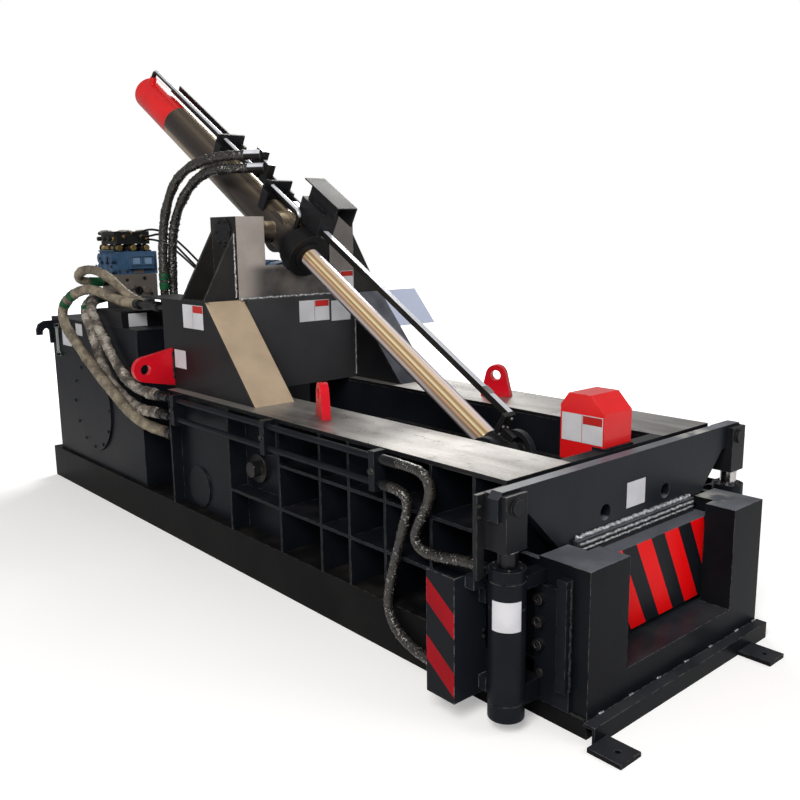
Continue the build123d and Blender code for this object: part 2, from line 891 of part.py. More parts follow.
# Angled guards behind the gate cylinders, each on two brackets
with BuildPart() as guards:
    slab((guard_rear, -guard_out, guard_low), (guard_front, -guard_out + guard_t, guard_top))
    slab((guard_front - guard_t, -guard_out, guard_low), (guard_front, -guard_in, guard_top))
    slab((guard_front, -guard_in - 40, 510), (chamber_front - rib_t, -half_width + 20, 570))
    slab((guard_front, -guard_in - 40, 130), (guard_front + 40, -half_width, 190))
    slab(
        (guard_front, -guard_in - 120, guard_top - 50),
        (bar_x - bar_size / 2 - 2, -guard_in - 60, guard_top),
    )
    mirror(about=Plane.XZ)
guards.part.label = "guards"
export_step(guards.part, "parts/guards.step")

# Lid: ribbed tray that turns about its rear end, with two ears for the cylinder's eye
lid_half = inner_half - lid_side_gap
ear_side = lid_rib_inner + lid_rib_t
with BuildPart() as lid:
    slab((hinge_x, -lid_half, lid_low), (lid_front, lid_half, lid_low + lid_bottom_t))
    slab((hinge_x, -lid_half, lid_low), (hinge_x + 60, lid_half, lid_top))
    slab((lid_front - lid_bottom_t, -lid_half, lid_low), (lid_front, lid_half, lid_top))
    for y in (-lid_half, lid_half - lid_skin):
        slab((hinge_x, y, lid_low), (lid_front, y + lid_skin, lid_top))
    for y in (-ear_side, lid_rib_inner):
        slab((hinge_x, y, lid_low), (lid_front, y + lid_rib_t, lid_top))
    for x in lid_cross_ribs:
        slab((x, -lid_half, lid_low), (x + lid_skin, lid_half, lid_top))
    for x in lid_front_ribs:
        slab((x, -lid_half, lid_low), (x + lid_skin, -ear_side, lid_top))
        slab((x, ear_side, lid_low), (x + lid_skin, lid_half, lid_top))
    rod_y(-lid_half, lid_half, hinge_x, hinge_z, hinge_boss_r)
    for y in (-ear_side, lid_rib_inner):
        rod_y(y, y + lid_rib_t, rod_pin_point.X, rod_pin_point.Z, ear_r)
        slab(
            (rod_pin_point.X - ear_r, y, lid_low),
            (rod_pin_point.X + ear_r, y + lid_rib_t, rod_pin_point.Z),
        )
        rod_y(y, y + lid_rib_t, rod_pin_point.X, rod_pin_point.Z, ear_hole_r, mode=Mode.SUBTRACT)
    for y_low, y_high in ((-lid_half, -hinge_pin_in + 2), (hinge_pin_in - 2, lid_half)):
        rod_y(y_low, y_high, hinge_x, hinge_z, hinge_pin_r + running_gap, mode=Mode.SUBTRACT)
lid.part.label = "lid"
export_step(lid.part, "parts/lid.step")

# Flanged pins through the side walls that the lid turns on
with BuildPart() as lid_hinge_pins:
    flange_face = hinge_web_face + hinge_flange_t
    rod_y(-hinge_pin_out, -hinge_pin_in, hinge_x, hinge_z, hinge_pin_r)
    rod_y(-flange_face, -hinge_web_face, hinge_x, hinge_z, hinge_flange_r)
    mirror(about=Plane.XZ)
lid_hinge_pins.part.label = "lid_hinge_pins"
export_step(lid_hinge_pins.part, "parts/lid_hinge_pins.step")

# Lid cylinder: barrel with trunnions, a thicker ring round them, and a gland flange
with BuildPart() as cylinder_barrel:
    axis_rod(-seam_reach, barrel_front, barrel_r)
    axis_rod(barrel_front, gland_front, gland_r)
    axis_rod(gland_front, gland_front + gland_lip_h, gland_lip_r)
    rod_y(-trunnion_collar_half, trunnion_collar_half, trunnion_x, trunnion_z, trunnion_collar_r)
    rod_y(-trunnion_tube_half, trunnion_tube_half, trunnion_x, trunnion_z, trunnion_tube_r)
    rod_y(-trunnion_shaft_half, trunnion_shaft_half, trunnion_x, trunnion_z, trunnion_shaft_r)
    axis_rod(-seam_reach, barrel_front, barrel_bore_r, mode=Mode.SUBTRACT)
    axis_rod(barrel_front, gland_front + gland_lip_h, lid_rod_r + running_gap, mode=Mode.SUBTRACT)
cylinder_barrel.part.label = "cylinder_barrel"
export_step(cylinder_barrel.part, "parts/cylinder_barrel.step")

# Red tail of the barrel, with its end edge cut back and the neck of the oil port
with BuildPart() as cylinder_cap:
    axis_rod(-tail_reach, -seam_reach, barrel_r)
    chamfer(cylinder_cap.faces().sort_by(Axis(trunnion, axis_dir))[0].edges(), tail_bevel)
    neck_foot = axis_plane(line_tail, line_side, 60).origin
    with Locations(Plane(origin=neck_foot, x_dir=(0, 1, 0), z_dir=axis_up)):
        Cylinder(neck_r, neck_top - 60, align=(Align.CENTER, Align.CENTER, Align.MIN))
    axis_rod(-tail_reach + tail_wall, -seam_reach, barrel_bore_r, mode=Mode.SUBTRACT)
cylinder_cap.part.label = "cylinder_cap"
export_step(cylinder_cap.part, "parts/cylinder_cap.step")

# Oil pipes along the upper side of the barrel
with BuildPart() as cylinder_pipes:
    with BuildLine() as tail_route:
        FilletPolyline(
            axis_plane(line_tail, line_side, neck_top).origin,
            axis_plane(line_tail, line_side, line_rise).origin,
            axis_plane(line_joint, line_side, line_rise).origin,
            radius=line_bend_r,
        )
    with BuildSketch(Plane(origin=axis_plane(line_tail, line_side, neck_top).origin, z_dir=axis_up)):
        Circle(line_r)
    sweep()
    with BuildLine() as front_route:
        FilletPolyline(
            axis_plane(line_restart, line_side, line_rise).origin,
            axis_plane(line_port, line_side, line_rise).origin,
            axis_plane(line_port, line_side, 110).origin,
            radius=line_bend_r,
        )
    with BuildSketch(axis_plane(line_restart, line_side, line_rise)):
        Circle(line_r)
    sweep()
    axis_rod(-tail_reach - 38, gland_front, barrel_r, mode=Mode.SUBTRACT)
    for (reach_low, reach_high), top, hose_end in (
        (adapter_a, adapter_a_top, lid_hose_ends[0]),
        (adapter_b, adapter_b_top, lid_hose_ends[1]),
    ):
        axis_box(reach_low, reach_high, adapter_sides[0], adapter_sides[1], adapter_low, top)
        with Locations(Plane(origin=hose_end, z_dir=ferrule_dir)):
            Cylinder(lid_hose_r + 3, ferrule_length, align=(Align.CENTER, Align.CENTER, Align.MIN))
cylinder_pipes.part.label = "cylinder_pipes"
export_step(cylinder_pipes.part, "parts/cylinder_pipes.step")

# Upright plates on the barrel that clamp the pipes, and the channel in which the guide bar runs
guide_half = guide_size / 2
track_in = guide_half + track_gap
track_out = track_in + track_wall_t
track_low = guide_rise - guide_half - track_gap - track_floor_t
track_top = guide_rise + guide_half
with BuildPart() as cylinder_brackets:
    for reach in bracket_reaches:
        axis_box(reach, reach + bracket_t, -bracket_half, bracket_half, 0, bracket_top)
        for side in (-bracket_half, bracket_half - bracket_t):
            axis_box(reach, reach + 70, side, side + bracket_t, 0, bracket_top - 60)
    axis_rod(-seam_reach, barrel_front, barrel_r, mode=Mode.SUBTRACT)
    axis_box(
        bracket_reaches[0] - 10,
        bracket_reaches[1] + 90,
        guide_side - track_out,
        guide_side + track_out,
        track_low,
        track_top,
        mode=Mode.SUBTRACT,
    )
    axis_rod(
        bracket_reaches[0] - 10,
        bracket_reaches[1] + 90,
        line_r,
        line_side,
        line_rise,
        mode=Mode.SUBTRACT,
    )
    for low, high in ((-track_out, -track_in), (track_in, track_out)):
        axis_box(track_tail, sensor_rear, guide_side + low, guide_side + high, track_low, track_top)
    for reach in (track_tail, *bracket_reaches, sensor_rear - track_tie):
        axis_box(
            reach,
            reach + track_tie,
            guide_side - track_out,
            guide_side + track_out,
            track_low,
            track_low + track_floor_t,
        )
cylinder_brackets.part.label = "cylinder_brackets"
export_step(cylinder_brackets.part, "parts/cylinder_brackets.step")

# Block with two position switches round the guide bar, under a bright folded hood
with BuildPart() as sensor_head:
    axis_box(
        sensor_rear, sensor_front, guide_side - sensor_side, guide_side + sensor_side, sensor_low, sensor_top
    )
    axis_box(
        sensor_rear,
        sensor_front,
        guide_side - guide_half - track_gap,
        guide_side + guide_half + track_gap,
        sensor_low,
        guide_rise + guide_half + track_gap,
        mode=Mode.SUBTRACT,
    )
    axis_box(sensor_rear, barrel_front, guide_side - 40, guide_side + 40, 60, sensor_low)
    axis_rod(sensor_rear - 5, barrel_front, barrel_r, mode=Mode.SUBTRACT)
    rod_y(
        -trunnion_collar_half,
        trunnion_collar_half + 20,
        trunnion_x,
        trunnion_z,
        trunnion_collar_r,
        mode=Mode.SUBTRACT,
    )
    axis_box(sensor_rear + 10, sensor_front + 60, guide_side - 20, guide_side - 8, sensor_top, hood_top)
    axis_box(sensor_rear - 30, hood_front, guide_side - 60, hood_side, hood_top, hood_top + hood_t)
    axis_box(sensor_rear + 60, hood_front, hood_side - hood_t, hood_side, hood_top - 120, hood_top)
sensor_head.part.label = "sensor_head"
export_step(sensor_head.part, "parts/sensor_head.step")

# Lid cylinder's rod with its piston
with BuildPart() as lid_rod:
    axis_rod(lid_piston_reach, eye_neck_reach, lid_rod_r)
    axis_rod(lid_piston_reach, lid_piston_reach + lid_piston_h, barrel_bore_r - running_gap)
lid_rod.part.label = "lid_rod"
export_step(lid_rod.part, "parts/lid_rod.step")

# Eye at the rod's end, its pin with two discs, and the bracket that pulls the guide bar
with BuildPart() as rod_eye:
    rod_y(-rod_eye_half, rod_eye_half, rod_pin_point.X, rod_pin_point.Z, rod_eye_r)
    axis_rod(eye_neck_reach, pin_reach, lid_rod_r)
    rod_y(-ear_side - ear_gap, ear_side + ear_gap, rod_pin_point.X, rod_pin_point.Z, rod_pin_r)
    for y in (-ear_side - ear_gap - pin_disc_t, ear_side + ear_gap):
        rod_y(y, y + pin_disc_t, rod_pin_point.X, rod_pin_point.Z, pin_disc_r)
    axis_box(guide_front, guide_front + 26, 0, guide_side + guide_half, 40, guide_rise + guide_half)
    axis_box(guide_front, pin_reach, 20, 46, 30, 110)
rod_eye.part.label = "rod_eye"
export_step(rod_eye.part, "parts/rod_eye.step")

# Square bar that runs in the channel and shows the rod's position
with BuildPart() as guide_bar:
    axis_box(
        guide_tail,
        guide_front,
        guide_side - guide_half,
        guide_side + guide_half,
        guide_rise - guide_half,
        guide_rise + guide_half,
    )
guide_bar.part.label = "guide_bar"
export_step(guide_bar.part, "parts/guide_bar.step")

# Ram head: thick face plate and side walls, open at the rear
ram_half = inner_half - ram_side_gap
ram_low = floor_top + ram_floor_gap
ram_top = chamber_roof - ram_top_gap
with BuildPart() as ram_head:
    slab((ram_face - ram_length, -ram_half, ram_low), (ram_face, ram_half, ram_top))
    slab(
        (ram_face - ram_length, -ram_half + ram_wall_t, ram_low + ram_wall_t),
        (ram_face - ram_plate_t, ram_half - ram_wall_t, ram_top - ram_wall_t),
        mode=Mode.SUBTRACT,
    )
ram_head.part.label = "ram_head"
export_step(ram_head.part, "parts/ram_head.step")

# Rod and piston that push the ram
main_piston_rear = main_gland - main_length + main_tail_wall + 2
with BuildPart() as main_rod:
    rod_x(main_piston_rear, ram_face - ram_plate_t, 0, main_axis_z, main_rod_r)
    rod_x(main_piston_rear, main_piston_rear + main_piston_h, 0, main_axis_z, main_bore_r - running_gap)
main_rod.part.label = "main_rod"
export_step(main_rod.part, "parts/main_rod.step")

# Main cylinder, flanged to the rear ends of the side walls, with a foot at its tail
with BuildPart() as main_cylinder:
    main_tail = main_gland - main_length
    rod_x(main_tail, main_gland, 0, main_axis_z, main_barrel_r)
    slab((chamber_rear - main_flange_t, -rib_inner, rail_top), (chamber_rear, rib_inner, main_flange_top))
    slab((main_tail, -main_foot_half, rail_top), (main_tail + main_flange_t, main_foot_half, main_axis_z))
    gland_rear = main_gland - main_gland_t
    rod_x(main_tail + main_tail_wall, gland_rear, 0, main_axis_z, main_bore_r, mode=Mode.SUBTRACT)
    rod_x(gland_rear, main_gland, 0, main_axis_z, main_rod_r + running_gap, mode=Mode.SUBTRACT)
main_cylinder.part.label = "main_cylinder"
export_step(main_cylinder.part, "parts/main_cylinder.step")

# Lid lock: sliding bolt on the front deck
strap_low = lid_top + lock_seat + lock_bar_h + face_gap
bar_low_z = lid_top + lock_seat
with BuildPart() as lock_bolt:
    slab((lock_nose, -lock_bar_half, bar_low_z), (lock_bar_rear, lock_bar_half, bar_low_z + lock_bar_h))
    slab(
        (lock_riser_x, -lock_riser_half, bar_low_z + lock_bar_h),
        (lock_riser_x + lock_riser_t, lock_riser_half, lock_axis_z + lock_rod_r + 12),
    )
    rod_x(lock_riser_x + lock_riser_t, lock_piston_x, 0, lock_axis_z, lock_rod_r)
    rod_x(lock_piston_x, lock_piston_x + lock_piston_h, 0, lock_axis_z, lock_bore_r - running_gap)
lock_bolt.part.label = "lock_bolt"
export_step(lock_bolt.part, "parts/lock_bolt.step")

# Guide of the lock bolt: two cheeks on the deck and two straps over the bar
with BuildPart() as lock_guide:
    for side in (-1, 1):
        y_in = side * (lock_bar_half + face_gap)
        y_out = side * lock_guide_half
        slab((lock_guide_rear, y_in, lid_top), (lock_guide_front, y_out, strap_low + lock_strap_t))
    for x in (lock_guide_rear, lock_guide_front - lock_strap_w):
        slab((x, -lock_guide_half, strap_low), (x + lock_strap_w, lock_guide_half, strap_low + lock_strap_t))
lock_guide.part.label = "lock_guide"
export_step(lock_guide.part, "parts/lock_guide.step")

# Folded bracket on the front flange that carries the lock cylinder and the cover
with BuildPart() as lock_bracket:
    slab((mouth_front, -lock_bracket_half, wall_top), (chamber_front, lock_bracket_half, cover_seat_z))
    slab(
        (mouth_front - lock_bracket_t, -lock_bracket_half, cover_low),
        (mouth_front, lock_bracket_half, cover_seat_z),
    )
lock_bracket.part.label = "lock_bracket"
export_step(lock_bracket.part, "parts/lock_bracket.step")

with BuildPart() as lock_cylinder:
    rod_x(lock_barrel_rear, lock_barrel_front, 0, lock_axis_z, lock_barrel_r)
    slab((lock_saddle_rear, -lock_barrel_r, cover_seat_z), (lock_barrel_front, lock_barrel_r, lock_axis_z))
    rod_x(
        lock_barrel_rear + lock_wall_t,
        lock_barrel_front - lock_wall_t,
        0,
        lock_axis_z,
        lock_bore_r,
        mode=Mode.SUBTRACT,
    )
    rod_x(
        lock_barrel_rear,
        lock_barrel_rear + lock_wall_t,
        0,
        lock_axis_z,
        lock_rod_r + running_gap,
        mode=Mode.SUBTRACT,
    )
lock_cylinder.part.label = "lock_cylinder"
export_step(lock_cylinder.part, "parts/lock_cylinder.step")

# Red sheet cover over the lock, open below
cover_outline = [
    (cover_rear, cover_low),
    (cover_rear, cover_top - cover_bevel_rear * 1.3),
    (cover_rear + cover_bevel_rear, cover_top),
    (cover_front - cover_bevel_front, cover_top),
    (cover_front, cover_shoulder_z),
    (cover_front, cover_seat_z),
    (mouth_front - lock_bracket_t, cover_seat_z),
    (mouth_front - lock_bracket_t, cover_low),
]
cover_inside = [
    (cover_rear + cover_t, cover_low),
    (cover_rear + cover_t, cover_top - cover_bevel_rear * 1.3 - 1),
    (cover_rear + cover_bevel_rear + 2, cover_top - cover_t),
    (cover_front - cover_bevel_front - 2, cover_top - cover_t),
    (cover_front - cover_t, cover_shoulder_z - 2),
    (cover_front - cover_t, cover_seat_z),
    (mouth_front - lock_bracket_t, cover_seat_z),
    (mouth_front - lock_bracket_t, cover_low),
]
with BuildPart() as lock_cover:
    profile_y(cover_outline, -cover_half, cover_half)
    profile_y(cover_inside, -cover_half + cover_t, cover_half - cover_t, mode=Mode.SUBTRACT)
lock_cover.part.label = "lock_cover"
export_step(lock_cover.part, "parts/lock_cover.step")

# Red lifting lugs on the top flanges, turned towards the load's centre
with BuildPart() as lifting_lugs:
    for lug_x, side in ((lug_near_x, -1), (lug_far_x, 1)):
        turn = math.radians(lug_turn_deg)
        lug_plane = Plane(
            origin=(lug_x, side * lug_y, wall_top),
            x_dir=(math.cos(turn), side * math.sin(turn), 0),
            z_dir=(side * math.sin(turn), -math.cos(turn), 0),
        )
        crown = lug_height - lug_r
        with BuildSketch(lug_plane.offset(-lug_t / 2)) as lug_outline:
            with BuildLine():
                Polyline(
                    (-lug_length / 2, 0),
                    (lug_length / 2, 0),
                    (lug_r * 0.98, crown + lug_r * 0.2),
                    (-lug_r * 0.98, crown + lug_r * 0.2),
                    close=True,
                )
            make_face()
            with Locations((0, crown)):
                Circle(lug_r)
                Circle(lug_hole_r, mode=Mode.SUBTRACT)
        extrude(lug_outline.sketch, amount=lug_t)
lifting_lugs.part.label = "lifting_lugs"
export_step(lifting_lugs.part, "parts/lifting_lugs.step")

# Red lugs that stand out from the tower boxes
with BuildPart() as side_lugs:
    for side in (-1, 1):
        eye_y = side * (side_lug_out - side_lug_r)
        eye_z = (side_lug_low + side_lug_top) / 2 + side_lug_rise
        with BuildSketch(Plane.YZ.offset(side_lug_x - side_lug_t / 2)) as side_outline:
            with BuildLine():
                Polyline(
                    (side * tower_outer, side_lug_low),
                    (side * tower_outer, side_lug_top),
                    (eye_y + side * side_lug_r * 0.2, eye_z + side_lug_r * 0.98),
                    (eye_y + side * side_lug_r * 0.2, eye_z - side_lug_r * 0.98),
                    close=True,
                )
            make_face()
            with Locations((eye_y, eye_z)):
                Circle(side_lug_r)
                Circle(side_lug_hole_r, mode=Mode.SUBTRACT)
        extrude(side_outline.sketch, amount=side_lug_t)
side_lugs.part.label = "side_lugs"
export_step(side_lugs.part, "parts/side_lugs.step")

# Oil tank: a hollow saddle over the main cylinder, with a hook at its rear edge
tank_outline = [
    (-tank_half, rail_top),
    (-tank_tunnel_half, rail_top),
    (-tank_tunnel_half, tank_tunnel_top),
    (tank_tunnel_half, tank_tunnel_top),
    (tank_tunnel_half, rail_top),
    (tank_half, rail_top),
    (tank_half, tank_top),
    (-tank_half, tank_top),
]
tank_inside = [
    (-tank_half + tank_wall, rail_top + tank_wall),
    (-tank_tunnel_half - tank_wall, rail_top + tank_wall),
    (-tank_tunnel_half - tank_wall, tank_tunnel_top + tank_wall),
    (tank_tunnel_half + tank_wall, tank_tunnel_top + tank_wall),
    (tank_tunnel_half + tank_wall, rail_top + tank_wall),
    (tank_half - tank_wall, rail_top + tank_wall),
    (tank_half - tank_wall, tank_top - tank_wall),
    (-tank_half + tank_wall, tank_top - tank_wall),
]
hook_outline = [
    (-tank_half, 1306),
    (-800, 1306),
    (-845, 1282),
    (-862, 1240),
    (-862, 1196),
    (-818, 1196),
    (-815, 1226),
    (-802, 1242),
    (-786, 1248),
    (-770, 1242),
    (-760, 1226),
    (-757, 1125),
    (-tank_half, 1125),
]
with BuildPart() as oil_tank:
    profile_x(tank_outline, tank_rear, tank_front)
    profile_x(tank_inside, tank_rear + tank_wall, tank_front - tank_wall, mode=Mode.SUBTRACT)
    profile_x(hook_outline, tank_rear, tank_rear + hook_t)
oil_tank.part.label = "oil_tank"
export_step(oil_tank.part, "parts/oil_tank.step")

# Round cleaning cover on the tank's near side, with its ring of bolts
with BuildPart() as tank_cover:
    hatch_seat = Plane(origin=(hatch_x, -tank_half, hatch_z), x_dir=(1, 0, 0), z_dir=(0, -1, 0))
    with Locations(hatch_seat):
        Cylinder(hatch_r, hatch_t, align=(Align.CENTER, Align.CENTER, Align.MIN))
    with Locations(hatch_seat.offset(hatch_t)):
        with PolarLocations(hatch_bolt_circle_r, hatch_bolts):
            Cylinder(hatch_bolt_r, 9, align=(Align.CENTER, Align.CENTER, Align.MIN))
tank_cover.part.label = "tank_cover"
export_step(tank_cover.part, "parts/tank_cover.step")

# Level gauge: a glass between two blocks
with BuildPart() as level_gauge:
    for z in (gauge_low, gauge_high - gauge_block):
        slab((gauge_x - 18, -tank_half - 24, z), (gauge_x + 18, -tank_half, z + gauge_block))
    slab(
        (gauge_x - 11, -tank_half - 20, gauge_low + gauge_block),
        (gauge_x + 11, -tank_half - 6, gauge_high - gauge_block),
    )
level_gauge.part.label = "level_gauge"
export_step(level_gauge.part, "parts/level_gauge.step")

# Stands on the tank under the valve block and the hose ends
with BuildPart() as valve_stand:
    slab((stand_rear, stand_near, tank_top), (stand_front, stand_far, stand_top))
    slab(
        (manifold_rear + 20, manifold_near + 20, tank_top),
        (manifold_front - 20, manifold_far - 20, manifold_low),
    )
valve_stand.part.label = "valve_stand"
export_step(valve_stand.part, "parts/valve_stand.step")

with BuildPart() as valve_manifold:
    slab((manifold_rear, manifold_near, manifold_low), (manifold_front, manifold_far, manifold_top))
    rod_x(manifold_front, manifold_front + 14, -400, 1600, 34)
    rod_x(manifold_front, manifold_front + 14, -270, 1560, 26)
valve_manifold.part.label = "valve_manifold"
export_step(valve_manifold.part, "parts/valve_manifold.step")

# Cast directional valve with lobes on its near face and two windows in its front face
with BuildPart() as main_valve:
    slab((valve_rear, valve_near + 40, manifold_top), (valve_front, valve_far, valve_top))
    for z in (manifold_top + 45, manifold_top + 120):
        rod_y(valve_near, valve_near + 60, valve_rear + 80, z, 38)
        rod_y(valve_near, valve_near + 60, valve_rear + 180, z, 38)
        rod_y(valve_near, valve_near + 60, valve_rear + 280, z, 38)
    slab(
        (valve_front, valve_near + 110, manifold_top + 40),
        (valve_front + 35, valve_far - 40, valve_top - 20),
    )
    for y in (valve_near + 130, valve_near + 225):
        slab(
            (valve_front + 15, y, manifold_top + 70),
            (valve_front + 35, y + 75, valve_top - 40),
            mode=Mode.SUBTRACT,
        )
main_valve.part.label = "main_valve"
export_step(main_valve.part, "parts/main_valve.step")

# Brass spool tubes and the pilot valves on top of them
cap_z = valve_top + cap_r_small + cap_ring
with BuildPart() as spool_caps:
    for y in cap_ys:
        rod_x(valve_rear + 20, valve_front - 10, y, cap_z, cap_r_small)
        rod_x(valve_rear + 60, valve_rear + 90, y, cap_z, cap_r_small + cap_ring)
        slab((valve_rear + 110, y - 14, valve_top), (valve_front - 60, y + 14, cap_z))
spool_caps.part.label = "spool_caps"
export_step(spool_caps.part, "parts/spool_caps.step")

with BuildPart() as pilot_valves:
    slab((pilot_rear, -455, cap_z + cap_r_small + cap_ring), (pilot_front, -190, pilot_top - 26))
    for y in cap_ys:
        rod_x(pilot_rear - 60, pilot_front, y, pilot_top - 12, 14)
        slab((pilot_rear + 60, y - 30, pilot_top - 26), (pilot_front, y + 30, pilot_top))
pilot_valves.part.label = "pilot_valves"
export_step(pilot_valves.part, "parts/pilot_valves.step")

# Electric motor on its feet, with a terminal box
with BuildPart() as motor:
    rod_x(motor_rear, motor_front, motor_axis_y, motor_axis_z, motor_r)
    slab(
        (motor_rear + 120, motor_axis_y - 130, motor_axis_z + 120),
        (motor_rear + 320, motor_axis_y + 40, motor_axis_z + motor_r + 60),
    )
    slab(
        (motor_rear + 60, motor_axis_y - 160, tank_top),
        (motor_rear + 400, motor_axis_y + 160, motor_axis_z - 90),
    )
    rod_x(
        motor_rear + motor_wall,
        motor_front - motor_wall,
        motor_axis_y,
        motor_axis_z,
        motor_r - 2 * motor_wall,
        mode=Mode.SUBTRACT,
    )
    rod_x(
        motor_rear,
        motor_rear + motor_wall,
        motor_axis_y,
        motor_axis_z,
        motor_shaft_r + running_gap,
        mode=Mode.SUBTRACT,
    )
motor.part.label = "motor"
export_step(motor.part, "parts/motor.step")

with BuildPart() as motor_rotor:
    rod_x(motor_rear - 40, motor_front - motor_wall - 10, motor_axis_y, motor_axis_z, motor_shaft_r)
    rod_x(motor_rear + 60, motor_front - 80, motor_axis_y, motor_axis_z, motor_core_r)
motor_rotor.part.label = "motor_rotor"
export_step(motor_rotor.part, "parts/motor_rotor.step")

# Bell housing and the pump behind it
with BuildPart() as pump:
    bell_rear = motor_rear - bell_length
    rod_x(bell_rear, motor_rear, motor_axis_y, motor_axis_z, bell_r)
    rod_x(bell_rear - pump_length, bell_rear, motor_axis_y, motor_axis_z, pump_r)
    slab(
        (bell_rear - pump_length, motor_axis_y - 60, motor_axis_z - 110),
        (bell_rear - pump_length + 120, motor_axis_y + 60, motor_axis_z + 110),
    )
    rod_x(motor_rear - 70, motor_rear, motor_axis_y, motor_axis_z, motor_shaft_r + 20, mode=Mode.SUBTRACT)
pump.part.label = "pump"
export_step(pump.part, "parts/pump.step")

# Steel oil pipes along the near wall and their clamps
with BuildPart() as side_pipes:
    for z in (pipe_upper_z, pipe_lower_z):
        rod_x(pipe_rear, pipe_front, pipe_y, z, pipe_r)
side_pipes.part.label = "side_pipes"
export_step(side_pipes.part, "parts/side_pipes.step")

with BuildPart() as pipe_clamps:
    for x in clamp_stations:
        slab((x, pipe_y - clamp_half, clamp_low), (x + clamp_t, -half_width, clamp_top))
    for z in (pipe_upper_z, pipe_lower_z):
        rod_x(pipe_rear, pipe_front, pipe_y, z, pipe_r, mode=Mode.SUBTRACT)
pipe_clamps.part.label = "pipe_clamps"
export_step(pipe_clamps.part, "parts/pipe_clamps.step")

# Hose ends: unions at the tower, nuts at the valve block, fittings at the pipes, and the pilot block
with BuildPart() as hose_fittings:
    for y in union_ys:
        rod_x(union_rear, tower_rear, y, union_z, union_r)
        for x in (union_rear, union_rear + 290):
            rod_x(x, x + 56, y, union_z, union_hex_r)
    for x, z in manifold_ports:
        rod_y(manifold_near - nut_length, manifold_near, x, z, nut_r)
    for z in (pipe_upper_z, pipe_lower_z):
        rod_x(pipe_fitting_rear, pipe_rear, pipe_y, z, pipe_fitting_r)
        rod_x(pipe_fitting_rear, pipe_fitting_rear + 50, pipe_y, z, pipe_fitting_r + 8)
    rod_x(pipe_front, pipe_front + upper_ferrule, pipe_y, pipe_upper_z, pipe_fitting_r)
    rod_x(pipe_front, pipe_front + lower_ferrule, pipe_y, pipe_lower_z, pipe_fitting_r)
    rod_x(drain_end, chamber_rear, drain_y, drain_z, 30)
    rod_x(drain_end, drain_end + 60, drain_y, drain_z, drain_nut_r)
    for y in lid_hose_feet:
        rod_z(stand_top, stand_top + nut_length, lid_hose_x, y, lid_hose_r + 3)
    slab((pilot_block_rear, -230, tower_top), (pilot_block_rear + 75, -110, pilot_block_z + 35))
hose_fittings.part.label = "hose_fittings"
export_step(hose_fittings.part, "parts/hose_fittings.step")


def hose(name, points, r):
    """A hose of straight runs joined by arcs as large as the runs allow; prints its measures."""
    corners = [Vector(*p) for p in points]
    radii = []
    for before, here, after in zip(corners, corners[1:], corners[2:]):
        run_in = here - before
        run_out = after - here
        half_turn = math.radians(run_in.get_angle(run_out)) / 2
        radii.append(0.45 * min(run_in.length, run_out.length) / math.tan(half_turn))
    with BuildPart() as tube:
        with BuildLine() as route:
            FilletPolyline(*corners, radius=radii)
        with BuildSketch(Plane(origin=corners[0], z_dir=corners[1] - corners[0])):
            Circle(r)
        sweep()
    length = sum(edge.length for edge in route.edges())
    share = tube.part.volume / (math.pi * r * r * length)
    print(name, "length", round(length), "volume share", round(share, 4))
    print("radii", [round(radius) for radius in radii])
    return tube.part


# Hoses wrapped in film between the valve block, the tower unions and the near wall's pipes
drain_hose = [
    (union_rear, union_ys[0], union_z),
    (-4000, union_ys[0], union_z),
    (-4127, -655, 1515),
    (-4301, -690, 1562),
    (-4420, -740, 1592),
    (-4536, -780, 1572),
    (-4650, -815, 1522),
    (-4745, -840, 1430),
    (-4705, -845, 1325),
    (-4560, -843, 1230),
    (-4400, -840, 1142),
    (-4247, -840, 1060),
    (-4100, -841, 990),
    (-3955, -840, 926),
    (-3780, -839, 848),
    (-3640, -836, 790),
    (-3530, -805, 738),
    (-3445, drain_y - 20, 696),
    (-3400, drain_y, drain_z),
    (drain_end, drain_y, drain_z),
]
loop_hose = [
    (union_rear, union_ys[1], union_z),
    (-3990, union_ys[1], union_z),
    (-4110, -588, 1545),
    (-4230, -615, 1620),
    (-4335, -643, 1682),
    (-4455, -672, 1724),
    (-4585, -700, 1728),
    (-4685, -722, 1690),
    (-4722, -690, 1640),
    (-4700, -610, 1625),
    (-4700, manifold_near - nut_length, 1625),
]
upper_hose = [
    (-4560, manifold_near - nut_length, 1515),
    (-4560, -600, 1515),
    (-4490, -695, 1502),
    (-4350, -780, 1455),
    (-4215, -792, 1350),
    (-4070, -790, 1210),
    (-3930, -789, 1085),
    (-3760, -790, 990),
    (-3580, -795, 958),
    (-3420, pipe_y, pipe_upper_z),
    (pipe_fitting_rear, pipe_y, pipe_upper_z),
]
lower_hose = [
    (-4700, manifold_near - nut_length, 1515),
    (-4700, -600, 1515),
    (-4610, -702, 1472),
    (-4480, -768, 1400),
    (-4375, -772, 1290),
    (-4304, -771, 1157),
    (-4205, -772, 1022),
    (-4060, -771, 930),
    (-3893, -772, 866),
    (-3700, -774, 826),
    (-3540, -785, 818),
    (-3410, pipe_y, pipe_lower_z),
    (pipe_fitting_rear, pipe_y, pipe_lower_z),
]
with BuildPart() as supply_hoses:
    add(hose("drain hose", drain_hose, drain_hose_r))
    add(hose("loop hose", loop_hose, supply_hose_r))
    add(hose("upper hose", upper_hose, supply_hose_r))
    add(hose("lower hose", lower_hose, supply_hose_r))
supply_hoses.part.label = "supply_hoses"
export_step(supply_hoses.part, "parts/supply_hoses.step")

